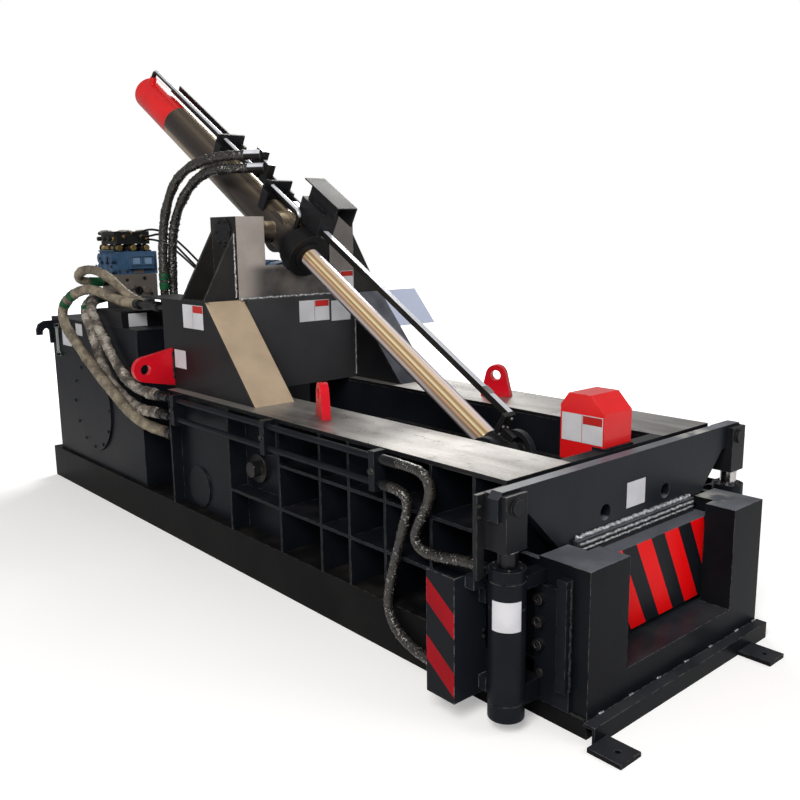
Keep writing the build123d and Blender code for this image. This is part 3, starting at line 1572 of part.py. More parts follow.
# Two hoses that rise behind the tower and go over to the lid cylinder's pipes
lid_hose_base = stand_top + nut_length
outer_lid_hose = [
    (lid_hose_x, lid_hose_feet[0], lid_hose_base),
    (lid_hose_x, lid_hose_feet[0], 1670),
    (-4002, -360, 1850),
    (-3987, -350, 2030),
    (-3930, -340, 2185),
    (-3825, -330, 2320),
    (-3690, -315, 2400),
    (-3540, -285, 2447),
    (-3400, -240, 2472),
    (-3305, -180, 2478),
    lid_hose_ends[0],
]
inner_lid_hose = [
    (lid_hose_x, lid_hose_feet[1], lid_hose_base),
    (lid_hose_x, lid_hose_feet[1], 1660),
    (-3994, -292, 1830),
    (-3968, -287, 1985),
    (-3905, -280, 2125),
    (-3800, -270, 2240),
    (-3670, -262, 2325),
    (-3530, -252, 2375),
    (-3395, -233, 2393),
    (-3278, -186, 2392),
    lid_hose_ends[1],
]
with BuildPart() as lid_hoses:
    add(hose("outer lid hose", outer_lid_hose, lid_hose_r))
    add(hose("inner lid hose", inner_lid_hose, lid_hose_r))
lid_hoses.part.label = "lid_hoses"
export_step(lid_hoses.part, "parts/lid_hoses.step")

# Two hoses from the near wall's pipes to the near gate cylinder
upper_gate_hose = [
    (pipe_front + upper_ferrule, pipe_y, pipe_upper_z),
    (-870, pipe_y, pipe_upper_z),
    (-785, -798, 948),
    (-748, -793, 880),
    (-780, -790, 800),
    (-835, -787, 715),
    (-872, -786, 640),
    (-840, -785, 590),
    (-750, -785, 583),
    (-640, -785, 600),
    (-550, -port_y, port_heights[1]),
    (port_reach, -port_y, port_heights[1]),
]
lower_gate_hose = [
    (pipe_front + lower_ferrule, pipe_y, pipe_lower_z),
    (-940, pipe_y, pipe_lower_z),
    (-897, -797, 800),
    (-912, -792, 735),
    (-946, -789, 640),
    (-983, -787, 540),
    (-1018, -785, 440),
    (-1046, -784, 345),
    (-1060, -785, 265),
    (-1038, -786, 195),
    (-985, -785, 140),
    (-905, -784, 103),
    (-815, -785, 85),
    (-715, -786, 78),
    (-620, -785, 86),
    (-545, -port_y, port_heights[0]),
    (port_reach, -port_y, port_heights[0]),
]
with BuildPart() as gate_hoses:
    add(hose("upper gate hose", upper_gate_hose, gate_hose_r))
    add(hose("lower gate hose", lower_gate_hose, gate_hose_r))
gate_hoses.part.label = "gate_hoses"
export_step(gate_hoses.part, "parts/gate_hoses.step")

# Thin hoses from the pilot valves to the block behind the yoke
pilot_hose_routes = [
    [
        (pilot_front, -260, 1960),
        (-4420, -260, 1960),
        (-4260, -250, 1985),
        (-4100, -228, 1920),
        (-3930, -212, 1815),
        (-3750, -205, 1720),
        (-3570, -202, 1650),
        (-3400, -200, 1612),
        (-3260, -200, pilot_block_z),
        (pilot_block_rear, -200, pilot_block_z),
    ],
    [
        (pilot_front, -330, 1988),
        (-4440, -330, 1988),
        (-4300, -300, 2020),
        (-4140, -240, 1985),
        (-3970, -200, 1880),
        (-3790, -178, 1765),
        (-3610, -168, 1670),
        (-3430, -168, 1612),
        (-3270, -170, pilot_block_z),
        (pilot_block_rear, -170, pilot_block_z),
    ],
    [
        (pilot_front, -215, 1940),
        (-4430, -215, 1940),
        (-4270, -185, 1905),
        (-4100, -160, 1820),
        (-3920, -145, 1725),
        (-3740, -140, 1645),
        (-3560, -139, 1600),
        (-3400, -141, 1592),
        (-3260, -140, pilot_block_z),
        (pilot_block_rear, -140, pilot_block_z),
    ],
]
with BuildPart() as pilot_hoses:
    for number, route_points in enumerate(pilot_hose_routes):
        add(hose("pilot hose " + str(number + 1), route_points, pilot_hose_r))
pilot_hoses.part.label = "pilot_hoses"
export_step(pilot_hoses.part, "parts/pilot_hoses.step")
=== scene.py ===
"""Dressed scene of a horizontal metal baler: its camera, hoses, finishes, fittings, welds and labels.

Everything is in metres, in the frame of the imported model: +X the way the bale leaves, +Z up, and -Y
the side with the oil pipes.
"""

import logging
import math
from dataclasses import dataclass, field
from enum import Enum
from functools import cache

import bmesh
import bpy
import numpy as np
from mathutils import Matrix, Vector

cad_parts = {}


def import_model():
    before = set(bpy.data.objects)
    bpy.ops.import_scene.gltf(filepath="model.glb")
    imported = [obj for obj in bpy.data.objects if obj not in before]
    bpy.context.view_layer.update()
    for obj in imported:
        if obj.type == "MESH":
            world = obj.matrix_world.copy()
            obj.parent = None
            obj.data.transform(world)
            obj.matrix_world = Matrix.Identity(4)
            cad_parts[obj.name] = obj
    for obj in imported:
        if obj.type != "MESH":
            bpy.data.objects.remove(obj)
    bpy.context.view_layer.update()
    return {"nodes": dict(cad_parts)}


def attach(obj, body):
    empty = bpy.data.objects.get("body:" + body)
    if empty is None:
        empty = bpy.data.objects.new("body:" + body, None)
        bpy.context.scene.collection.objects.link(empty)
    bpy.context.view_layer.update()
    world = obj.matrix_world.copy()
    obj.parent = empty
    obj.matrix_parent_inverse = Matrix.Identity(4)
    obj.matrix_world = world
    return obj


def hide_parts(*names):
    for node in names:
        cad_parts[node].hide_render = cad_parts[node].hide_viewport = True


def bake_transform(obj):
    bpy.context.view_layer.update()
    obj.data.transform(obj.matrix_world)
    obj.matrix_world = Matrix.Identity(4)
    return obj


log = logging.getLogger("baler")

Colour = tuple[float, float, float]
Point = tuple[float, float, float]
Pairs = tuple[tuple[float, float], ...]
Socket = bpy.types.NodeSocket
Thing = bpy.types.Object

# The lid cylinder's trunnion and direction, which the fittings on it are placed by
TRUNNION = np.array([-2.975, 0.0, 1.983])
SLANT = math.radians(30.85)
ALONG = np.array([math.cos(SLANT), 0.0, -math.sin(SLANT)])
ABOVE = np.array([math.sin(SLANT), 0.0, math.cos(SLANT)])
SIDEWAYS = np.array([0.0, 1.0, 0.0])

# The ways that most faces look
FRONT = (1.0, 0.0, 0.0)
NEAR = (0.0, -1.0, 0.0)
UP = (0.0, 0.0, 1.0)

WHITE = (1.0, 1.0, 1.0)


# Shader expressions


class Field:
    """A number that changes over a surface: a wrapped socket whose operators add Math nodes."""

    def __init__(self, shader: "Shader", socket: Socket) -> None:
        """Wraps a socket of the shader's tree."""
        self.shader = shader
        self.socket = socket

    def _math(self, operation: str, *values: "Field | float") -> "Field":
        """Adds a Math node on the values and wraps its result."""
        made = self.shader.node("ShaderNodeMath", {"operation": operation}, dict(enumerate(values)))
        return Field(self.shader, made.outputs[0])

    def __add__(self, other: "Field | float") -> "Field":
        """The sum."""
        return self._math("ADD", self, other)

    def __sub__(self, other: "Field | float") -> "Field":
        """The difference."""
        return self._math("SUBTRACT", self, other)

    def __rsub__(self, other: float) -> "Field":
        """The difference, from a plain number."""
        return self._math("SUBTRACT", other, self)

    def __mul__(self, other: "Field | float") -> "Field":
        """The product."""
        return self._math("MULTIPLY", self, other)

    def __truediv__(self, other: "Field | float") -> "Field":
        """The quotient."""
        return self._math("DIVIDE", self, other)

    __radd__ = __add__
    __rmul__ = __mul__

    def wrap(self, period: float) -> "Field":
        """The remainder after whole periods."""
        return self._math("FLOORED_MODULO", self, period)

    def size(self) -> "Field":
        """The value without its sign."""
        return self._math("ABSOLUTE", self)

    def larger(self, other: "Field | float") -> "Field":
        """The larger of two values."""
        return self._math("MAXIMUM", self, other)

    def step(self, low: float, high: float) -> "Field":
        """A smooth step.

        Args:
            low: where it is 0.
            high: where it is 1; it falls where low is above high.
        Returns:
            The step as a field.
        """
        if low > high:
            return 1 - self.step(high, low)
        made = self.shader.node(
            "ShaderNodeMapRange",
            {"interpolation_type": "SMOOTHSTEP", "clamp": True},
            {"Value": self, "From Min": low, "From Max": high},
        )
        return Field(self.shader, made.outputs[0])


class Nodes:
    """A node tree that grows by one method."""

    def __init__(self, tree: bpy.types.NodeTree) -> None:
        """Empties the tree."""
        self.tree = tree
        self.tree.nodes.clear()

    def node(self, kind: str, settings: dict, sockets: dict) -> bpy.types.Node:
        """Adds a node.

        Args:
            kind: the node's type.
            settings: its properties, set first; "stops" is a ramp's list of (position, colour).
            sockets: values or links, by the socket's name or number.
        Returns:
            The node.
        """
        made = self.tree.nodes.new(kind)
        for key, value in settings.items():
            if key == "stops":
                ramp = made.color_ramp
                while len(ramp.elements) < len(value):
                    ramp.elements.new(0.5)
                for element, (position, colour) in zip(ramp.elements, value):
                    element.position = position
                    element.color = (*colour, 1.0)
            else:
                setattr(made, key, value)
        for key, value in sockets.items():
            self.feed(made.inputs[key], value)
        return made

    def feed(self, socket: Socket, value: object) -> None:
        """Links or sets an input.

        Args:
            socket: the input.
            value: a field or socket to link, or a plain value to set on it.
        """
        if isinstance(value, Field):
            self.tree.links.new(value.socket, socket)
        elif isinstance(value, Socket):
            self.tree.links.new(value, socket)
        elif isinstance(value, tuple) and len(value) == 3 and len(socket.default_value) == 4:
            socket.default_value = (*value, 1.0)
        else:
            socket.default_value = value


class Shader(Nodes):
    """One material's nodes, with its Principled shader."""

    def __init__(self, name: str) -> None:
        """Makes an empty material of that name."""
        self.material = bpy.data.materials.new(name)
        self.material.use_nodes = True
        super().__init__(self.material.node_tree)
        self.surface = self.node("ShaderNodeBsdfPrincipled", {}, {})
        self.node("ShaderNodeOutputMaterial", {}, {"Surface": self.surface.outputs[0]})
        self.place = self.node("ShaderNodeTexCoord", {}, {}).outputs["Object"]
        self.normal = self.node("ShaderNodeNewGeometry", {}, {}).outputs["Normal"]

    def set(self, name: str, value: object) -> None:
        """Sets or links an input of the Principled shader."""
        self.feed(self.surface.inputs[name], value)

    def axis(self, number: int) -> Field:
        """One coordinate of the place on the object, in metres."""
        parts = self.node("ShaderNodeSeparateXYZ", {}, {0: self.place})
        return Field(self, parts.outputs[number])

    def facing(self, direction: Point) -> Field:
        """The surface normal's share along a direction."""
        made = self.node("ShaderNodeVectorMath", {"operation": "DOT_PRODUCT"}, {0: self.normal, 1: direction})
        return Field(self, made.outputs["Value"])

    def noise(
        self, scale: float, detail: float = 3.0, stretch: Point = (1.0, 1.0, 1.0), turn: float = 0.0
    ) -> Field:
        """Cloudy noise from 0 to 1.

        Args:
            scale: blotches per metre.
            detail: octaves.
            stretch: factor along each axis, so 0.1 makes long streaks along that axis.
            turn: angle about Y, in radians, that the streaks are turned by.
        Returns:
            The noise as a field.
        """
        moved = self.node(
            "ShaderNodeMapping",
            {"vector_type": "TEXTURE"},
            {"Vector": self.place, "Scale": tuple(1 / part for part in stretch), "Rotation": (0.0, turn, 0.0)},
        )
        made = self.node(
            "ShaderNodeTexNoise", {}, {"Vector": moved.outputs[0], "Scale": scale, "Detail": detail}
        )
        return Field(self, made.outputs[0])

    def ramp(self, share: Field, stops: list[tuple[float, Colour]]) -> Socket:
        """A colour looked up along a row of stops, each a place from 0 to 1 and a colour."""
        return self.node("ShaderNodeValToRGB", {"stops": stops}, {0: share}).outputs[0]

    def blend(self, share: "Field | float", first: object, second: object) -> Socket:
        """A mix of two colours."""
        made = self.node("ShaderNodeMix", {"data_type": "RGBA"}, {0: share, 6: first, 7: second})
        return made.outputs[2]

    def rounded(self, radius: float) -> Socket:
        """The normal as it would be with the edges rounded to that radius."""
        return self.node("ShaderNodeBevel", {"samples": 4}, {"Radius": radius}).outputs[0]

    def edges(self, radius: float) -> Field:
        """A mask of the sharp edges, from how far the rounded normal leaves the true one.

        Args:
            radius: how far from an edge it still counts, in metres.
        Returns:
            A field that is 1 on the edges.
        """
        made = self.node(
            "ShaderNodeVectorMath", {"operation": "DOT_PRODUCT"}, {0: self.normal, 1: self.rounded(radius)}
        )
        return (1 - Field(self, made.outputs["Value"])).step(0.02, 0.22)

    def bump(self, height: Field, depth: float, base: Socket) -> Socket:
        """A base normal bumped by a height field of that depth in metres."""
        sockets = {"Height": height, "Distance": depth, "Strength": 1.0, "Normal": base}
        return self.node("ShaderNodeBump", {}, sockets).outputs[0]


# Finishes


class Pattern(Enum):
    """What a finish shows besides its blotches and wear."""

    PLAIN = "plain"
    GUARD_STRIPES = "guard stripes"
    GATE_STRIPES = "gate stripes"
    SCUFFED_TOP = "scuffed top"
    BARE_FRONT = "bare front"
    # Tops painted lighter: a painted sheen, partly wear
    SHEEN_AND_WORN_TOP = "light top"
    SPRAYED_RED = "sprayed red"
    SLOPES = "slopes"
    RIPPLED = "rippled film"
    ROD = "polished rod"
    GATE_RODS = "one dull rod, one polished"
    BARREL = "bronze barrel, black front"
    DUSKY = "brushed dark front"
    # The light along the bar's top is a painted highlight
    BAR = "slanted bar, light along its top"


# Slanting stripes: how much they lean, where the first begins, how far apart they lie (metres)
GUARD_STRIPES = (0.73, 0.55, 0.25)
GATE_STRIPES = (0.52, 0.1886, 0.217)

# The direction square to the lid cylinder that its painted reflections turn by, and the colours of those painted
# reflections on that turn
ACROSS = (0.393, 0.642, 0.658)
ROD_REFLECTIONS = [
    (0.0, (0.05, 0.05, 0.055)), (0.05, (0.3, 0.27, 0.27)), (0.1, (0.86, 0.78, 0.78)), (0.17, (0.6, 0.5, 0.48)),
    (0.23, (0.32, 0.23, 0.16)), (0.33, (0.74, 0.48, 0.27)), (0.41, (0.25, 0.155, 0.095)), (0.5, (1.0, 0.86, 0.52)),
    (0.57, (0.6, 0.4, 0.22)), (0.65, (0.34, 0.235, 0.145)), (0.75, (0.97, 0.73, 0.46)),
    (0.84, (0.92, 0.78, 0.76)), (0.91, (1.0, 0.92, 0.96)), (0.97, (0.35, 0.31, 0.34)), (1.0, (0.16, 0.15, 0.17))]
BARREL_REFLECTIONS = [
    (0.0, (0.24, 0.2, 0.155)), (0.1, (0.11, 0.092, 0.078)), (0.25, (0.06, 0.05, 0.046)),
    (0.45, (0.066, 0.054, 0.05)), (0.58, (0.115, 0.094, 0.074)), (0.67, (0.205, 0.165, 0.12)),
    (0.75, (0.115, 0.092, 0.074)), (0.85, (0.21, 0.165, 0.12)), (0.91, (0.95, 0.78, 0.52)),
    (0.96, (0.42, 0.32, 0.23)), (1.0, (0.26, 0.22, 0.19))]

EDGE_RADIUS = 0.004
DUST_COLOUR = (0.1, 0.092, 0.08)


@dataclass(frozen=True)
class Finish:
    """A surface: two colours in blotches, its gloss, its bump, its worn edges and its dust."""

    name: str
    base: Colour
    second: Colour
    roughness: float = 0.45
    spread: float = 0.15
    metallic: float = 0.0
    blotch: float = 3.0
    grain: float = 180.0
    depth: float = 0.0004
    edge_colour: Colour = (0.2, 0.19, 0.18)
    edge_share: float = 0.6
    dust: float = 0.12
    coat: float = 0.0
    transmission: float = 0.0
    specular: float = 0.16
    grime_and_shade: float = 0.7
    pattern: Pattern = Pattern.PLAIN

    @cache
    def material(self) -> bpy.types.Material:
        """Builds the material from the fields, once.

        Returns:
            The material.
        """
        shader = Shader(self.name)
        cloud = shader.noise(self.blotch, 5.0)
        fine = shader.noise(self.grain, 2.0)
        colour = shader.blend(cloud.step(0.35, 0.65), self.base, self.second)
        rough = self.roughness + (cloud - 0.5) * self.spread + (fine - 0.5) * self.spread * 0.6
        colour, rough, metal, height = self.decorate(shader, colour, rough)
        edge = shader.edges(EDGE_RADIUS) * shader.noise(28.0, 4.0).step(0.38, 0.6) * self.edge_share
        colour = shader.blend(edge, colour, self.edge_colour)
        settled = shader.facing(UP).step(0.5, 0.95) * shader.noise(7.0, 6.0).step(0.4, 0.75)
        colour = shader.blend(settled * self.dust, colour, DUST_COLOUR)
        rough = rough + settled * (self.dust * 0.5)
        bumped = shader.bump(height + fine * 0.3 + cloud, self.depth, shader.rounded(EDGE_RADIUS))
        values = {"Base Color": colour, "Roughness": rough, "Metallic": metal, "Normal": bumped,
                  "Specular IOR Level": self.specular, "Coat Weight": self.coat, "Coat Roughness": 0.12,
                  "Transmission Weight": self.transmission}
        for name, value in values.items():
            shader.set(name, value)
        return shader.material

    def striped(self, shader: Shader, band: Field, share: float, tint: Colour) -> Socket:
        """Black with red where the band is 1; the red takes that share of a tint, which on the guard is a painted
        shade.
        """
        red = shader.blend(shader.noise(5.0, 4.0).step(0.3, 0.7), (0.62, 0.003, 0.006), (0.5, 0.003, 0.006))
        return shader.blend(band, (0.008, 0.009, 0.012), shader.blend(share, red, tint))

    def decorate(self, shader: Shader, colour: object, rough: Field) -> tuple:
        """Lays the finish's pattern over its blotches.

        Args:
            shader: the material in work.
            colour: its colour so far.
            rough: its roughness so far.
        Returns:
            Colour, roughness, metallic value and a height for the bump.
        """
        noise, blend, facing = shader.noise, shader.blend, shader.facing
        x, y, z = (shader.axis(number) for number in range(3))
        metal: "Field | float" = self.metallic
        height: "Field | float" = noise(self.grain * 0.4, 3.0)
        if self.pattern is Pattern.GUARD_STRIPES:
            lean, begin, period = GUARD_STRIPES
            slanted = (z + x * lean + begin).wrap(period)
            side = facing(NEAR).size().step(0.8, 0.9)
            outer = y.size().step(0.996, 0.998)
            # The guard's red is deepened by a painted shade
            painted = self.striped(shader, slanted.step(0.144, 0.146), 0.55, (0.05, 0.002, 0.01))
            colour = blend(side * outer, colour, painted)
        elif self.pattern is Pattern.GATE_STRIPES:
            lean, begin, period = GATE_STRIPES
            slanted = (y + z * lean - begin).wrap(period)
            front = facing(FRONT).step(0.8, 0.9) * x.step(-0.16, -0.156)
            low = z.step(0.244, 0.246)
            painted = self.striped(shader, slanted.step(0.113, 0.111), 0.6, (0.95, 0.003, 0.003))
            # Painted sheen: the top face is painted lighter, in patches
            top = facing(UP).step(0.6, 0.9) * (0.45 + noise(3.0, 5.0).step(0.3, 0.7) * 0.5)
            colour = blend(top, colour, (0.12, 0.128, 0.15))
            colour = blend(front * low, colour, painted)
        elif self.pattern is Pattern.SCUFFED_TOP:
            top = facing(UP).step(0.7, 0.9)
            wear = noise(2.2, 8.0, (0.45, 1.6, 1.0)).step(0.34, 0.6)
            streak = noise(14.0, 5.0, (0.12, 1.0, 1.0)).step(0.35, 0.75)
            bright = blend(wear, (0.15, 0.14, 0.132), (0.305, 0.297, 0.285))
            bright = blend(streak * 0.45, bright, (0.44, 0.43, 0.42))
            bright = blend(noise(9.0, 7.0).step(0.58, 0.74) * 0.7, bright, (0.07, 0.066, 0.062))
            # Painted highlight: brighter towards the rear, where the flanges pass the towers
            bright = blend(x.step(-1.9, -2.5) * 0.6, bright, (0.62, 0.59, 0.56))
            metal = top * 0.75
            colour = blend(top, (0.008, 0.0085, 0.01), bright)
            rough = 0.4 - wear * 0.1 + streak * 0.06 + (noise(60.0, 4.0) - 0.5) * 0.3
        elif self.pattern is Pattern.BARE_FRONT:
            front = facing(FRONT).step(0.8, 0.95) * x.step(-2.84, -2.835)
            thin = noise(5.0, 7.0)
            bare = blend(thin.step(0.35, 0.65), (0.35, 0.305, 0.275), (0.42, 0.375, 0.345))
            # Painted shade of the lid cylinder, with real dark smears, darkens the middle below it; the far side is
            # darkened thinly too
            middle = y.step(-0.44, -0.24) * (1 - y.step(0.24, 0.3) * 0.45) * z.step(1.8, 1.74)
            shade_and_smear = (middle * (0.8 + (thin - 0.5) * 1.1)).larger(y.step(0.2, 0.28) * 0.45)
            colour = blend(front, colour, blend(shade_and_smear, bare, (0.02, 0.02, 0.023)))
            metal = front * 0.35
            rough = rough + front * (thin - 0.35) * 0.3
        elif self.pattern is Pattern.SHEEN_AND_WORN_TOP:
            top = facing(UP).step(0.6, 0.9)
            patch = noise(4.0, 5.0).step(0.35, 0.65)
            # The tops get a painted sheen, patchy and partly wear, that fades out low down, so the sill stays dark;
            # the columns' inner corners are rubbed bare
            high = 1 - z.step(0.55, 0.45) * 0.85
            colour = blend(top * high * (0.45 + patch * 0.3), colour, (0.19, 0.202, 0.235))
            corner = x.step(-0.06, -0.2) * (y - 0.5).size().step(0.17, 0.03) * z.step(0.68, 0.69)
            bare = corner * noise(12.0, 5.0).step(0.38, 0.55) * top
            colour = blend(bare, colour, (0.42, 0.41, 0.38))
        elif self.pattern is Pattern.SPRAYED_RED:
            # Overspray near the foot of the lugs
            haze = z.step(1.04, 1.004) * noise(60.0, 3.0).step(0.3, 0.6) * 0.5
            colour = blend(haze, colour, (0.2, 0.02, 0.02))
        elif self.pattern is Pattern.SLOPES:
            grain = noise(6.0, 7.0)
            gold = blend(grain.step(0.3, 0.7), (0.47, 0.36, 0.25), (0.575, 0.45, 0.315))
            # One primer painted lit and shaded: gold on the near side, slate in painted shade on the far one, and a
            # painted pale blue highlight on the wing outside it
            cloud = noise(3.0, 6.0).step(0.35, 0.7)
            slate = blend(cloud, (0.06, 0.065, 0.078), (0.205, 0.218, 0.255))
            cool = blend(y.step(0.684, 0.686), slate, (0.6, 0.66, 0.84))
            bare = blend(y.step(-0.2, 0.2), gold, cool)
            outward = facing((0.7, 0.0, 0.7)).step(0.75, 0.9)
            colour = blend(outward, (0.012, 0.012, 0.012), bare)
            metal = outward * 0.3
            rough = 0.4 + (grain - 0.5) * 0.12
        elif self.pattern is Pattern.RIPPLED:
            crease, lump = noise(90.0, 5.0), noise(14.0, 9.0)
            height = crease * 2.0 + lump * 2.0
            # Darker in the film's hollows, where the lumps are low: partly grime, partly painted shade
            colour = blend(lump.step(0.54, 0.4) * self.grime_and_shade, colour, (0.034, 0.029, 0.024))
            # Painted glints on the ridges, in the finish's edge colour
            painted_glint = crease.step(0.55, 0.68) * lump.step(0.44, 0.6)
            colour = blend(painted_glint * 0.8, colour, self.edge_colour)
            rough = rough - painted_glint * 0.12
        elif self.pattern is Pattern.ROD:
            # Painted reflections: the colour follows how the face turns about the rod
            strand = noise(40.0, 4.0, (0.01, 1.0, 1.0), SLANT)
            turn = facing(ACROSS) * 0.5 + 0.5 + (strand - 0.5) * 0.05
            colour = shader.ramp(turn, ROD_REFLECTIONS)
            metal = 0.3
            height = strand * 0.1
        elif self.pattern is Pattern.GATE_RODS:
            # The near rod is dull, the far one polished
            near = y.step(0.0, -0.1)
            colour = blend(near, colour, (0.03, 0.03, 0.034))
            rough = rough + near * 0.2
        elif self.pattern is Pattern.BARREL:
            # The front end is painted black; round the barrel the colours are painted reflections, and the underside
            # of the rear end gets a painted highlight
            reach = (x - float(TRUNNION[0])) * float(ALONG[0]) + (z - float(TRUNNION[2])) * float(ALONG[2])
            front = reach.step(0.06, 0.17)
            lines = noise(22.0, 4.0, (0.02, 1.0, 1.0), SLANT)
            turn = facing(ACROSS) * 0.5 + 0.5 + (lines - 0.5) * 0.16
            colour = shader.ramp(turn, BARREL_REFLECTIONS)
            low = facing(ACROSS).step(-0.7, -0.95) * reach.step(-0.6, -0.9)
            colour = blend(low, colour, (0.62, 0.5, 0.36))
            colour = blend(front, colour, (0.012, 0.012, 0.013))
            metal = 0.55 - front * 0.3
            rough = rough + front * 0.1 + (lines - 0.5) * 0.12
        elif self.pattern is Pattern.BAR:
            # Painted highlight: the faces that look up along the slant are painted near-white
            top = facing(tuple(map(float, ABOVE))).step(0.3, 0.6)
            patch = noise(5.0, 4.0, (0.3, 1.0, 1.0), SLANT).step(0.35, 0.65)
            colour = blend(top * (0.75 + patch * 0.25), colour, (0.84, 0.87, 0.94))
            height = 0.0
        elif self.pattern is Pattern.DUSKY:
            front = facing(FRONT).step(0.8, 0.95)
            wipe = noise(4.0, 6.0)
            colour = blend(front * (0.35 + wipe * 0.5), colour, (0.06, 0.059, 0.064))
            metal = front * 0.25
        return colour, rough, metal, height


PAINT = Finish("charcoal_paint", (0.0085, 0.009, 0.011), (0.013, 0.0135, 0.0155), 0.4, 0.16)
SIDE_PAINT = Finish("side_paint", (0.0054, 0.0066, 0.0098), (0.0088, 0.0102, 0.0142), 0.4, 0.16, dust=0.1,
                    specular=0.1)
DEEP_PAINT = Finish("deep_paint", (0.007, 0.008, 0.011), (0.012, 0.0135, 0.017), 0.6, 0.2, dust=0.2)
SKID_PAINT = Finish("skid_paint", (0.0045, 0.0047, 0.0055), (0.009, 0.0085, 0.0085), 0.44, 0.2,
                    edge_colour=(0.16, 0.14, 0.12), dust=0.15, specular=0.05)
FRAME_PAINT = Finish("frame_paint", (0.0044, 0.0052, 0.007), (0.0072, 0.0082, 0.0105), 0.34, 0.14,
                     edge_colour=(0.3, 0.29, 0.28), pattern=Pattern.SHEEN_AND_WORN_TOP, specular=0.06)
BEAM_PAINT = Finish("beam_paint", (0.0075, 0.0094, 0.0135), (0.0105, 0.0128, 0.0175), 0.34, 0.1,
                    pattern=Pattern.SHEEN_AND_WORN_TOP)
GUARD_PAINT = Finish("guard_paint", (0.0085, 0.0105, 0.015), (0.012, 0.014, 0.019), 0.36, 0.12,
                     edge_colour=(0.5, 0.5, 0.5), specular=0.08, pattern=Pattern.GUARD_STRIPES)
GATE_PAINT = Finish("gate_paint", (0.01, 0.011, 0.014), (0.03, 0.031, 0.034), 0.34, 0.14,
                    specular=0.08, pattern=Pattern.GATE_STRIPES)
FLANGE_STEEL = Finish("worn_steel", (0.4, 0.4, 0.4), (0.5, 0.5, 0.5), 0.4, 0.2, 0.6, dust=0.1,
                      edge_colour=(0.35, 0.34, 0.32), pattern=Pattern.SCUFFED_TOP)
YOKE_PAINT = Finish("yoke_paint", (0.016, 0.0155, 0.0155), (0.027, 0.026, 0.0245), 0.42, 0.18,
                    edge_colour=(0.34, 0.32, 0.29), pattern=Pattern.BARE_FRONT)
SLOPE_STEEL = Finish("tan_primer", (0.4, 0.33, 0.24), (0.5, 0.4, 0.3), 0.4, 0.2, 0.4, dust=0.05,
                     edge_colour=(0.25, 0.22, 0.18), pattern=Pattern.SLOPES)
BARREL_PAINT = Finish("barrel_paint", (0.15, 0.124, 0.105), (0.185, 0.154, 0.132), 0.27, 0.1, 0.85, 2.0,
                      dust=0.03, edge_share=0.3, pattern=Pattern.BARREL)
DUSKY_PAINT = Finish("dusky_paint", (0.014, 0.014, 0.0155), (0.026, 0.026, 0.028), 0.38, 0.16, dust=0.08,
                     pattern=Pattern.DUSKY)
PIPE_PAINT = Finish("pipe_paint", (0.012, 0.0115, 0.011), (0.02, 0.019, 0.018), 0.3, 0.08, 0.3, depth=0.0001,
                    edge_share=0.0, dust=0.03, pattern=Pattern.BAR)
RED_PAINT = Finish("red_paint", (0.82, 0.012, 0.014), (0.68, 0.01, 0.012), 0.24, 0.12, coat=0.35, dust=0.04,
                   edge_colour=(0.75, 0.25, 0.2), edge_share=0.35)
LUG_PAINT = Finish("lug_paint", (0.66, 0.006, 0.018), (0.55, 0.005, 0.014), 0.3, 0.14, coat=0.2, dust=0.05,
                   edge_colour=(0.8, 0.3, 0.25), edge_share=0.35, pattern=Pattern.SPRAYED_RED)
CHROME = Finish("hard_chrome", (0.66, 0.56, 0.46), (0.6, 0.52, 0.43), 0.17, 0.08, 1.0, 6.0, 400.0, 0.00005,
                edge_share=0.0, dust=0.0, pattern=Pattern.ROD)
GATE_CHROME = Finish("gate_chrome", (0.62, 0.61, 0.6), (0.55, 0.54, 0.53), 0.18, 0.1, 1.0, 6.0, 400.0, 0.0002,
                     edge_share=0.0, dust=0.0, pattern=Pattern.GATE_RODS)
STEEL = Finish("bright_steel", (0.34, 0.33, 0.31), (0.46, 0.45, 0.43), 0.34, 0.2, 0.9, 9.0,
               edge_colour=(0.65, 0.64, 0.62), dust=0.1)
DARK_STEEL = Finish("dark_steel", (0.018, 0.018, 0.02), (0.034, 0.033, 0.032), 0.34, 0.18, 0.5, 9.0,
                    edge_colour=(0.35, 0.34, 0.32), dust=0.08)
BRASS = Finish("brass", (0.52, 0.36, 0.13), (0.3, 0.2, 0.09), 0.32, 0.2, 0.95, 12.0,
               edge_colour=(0.8, 0.62, 0.3), dust=0.1)
VALVE_BLUE = Finish("valve_blue", (0.04, 0.088, 0.165), (0.058, 0.12, 0.215), 0.42, 0.18, blotch=8.0,
                    depth=0.0012, edge_colour=(0.2, 0.26, 0.33), dust=0.2)
PALE_BLUE = Finish("pale_blue", (0.17, 0.28, 0.42), (0.22, 0.34, 0.5), 0.25, 0.1, blotch=20.0, edge_share=0.2)
MANIFOLD = Finish("manifold_steel", (0.185, 0.16, 0.142), (0.24, 0.21, 0.185), 0.45, 0.2, 0.4, 5.0,
                  edge_colour=(0.4, 0.36, 0.32), dust=0.2)
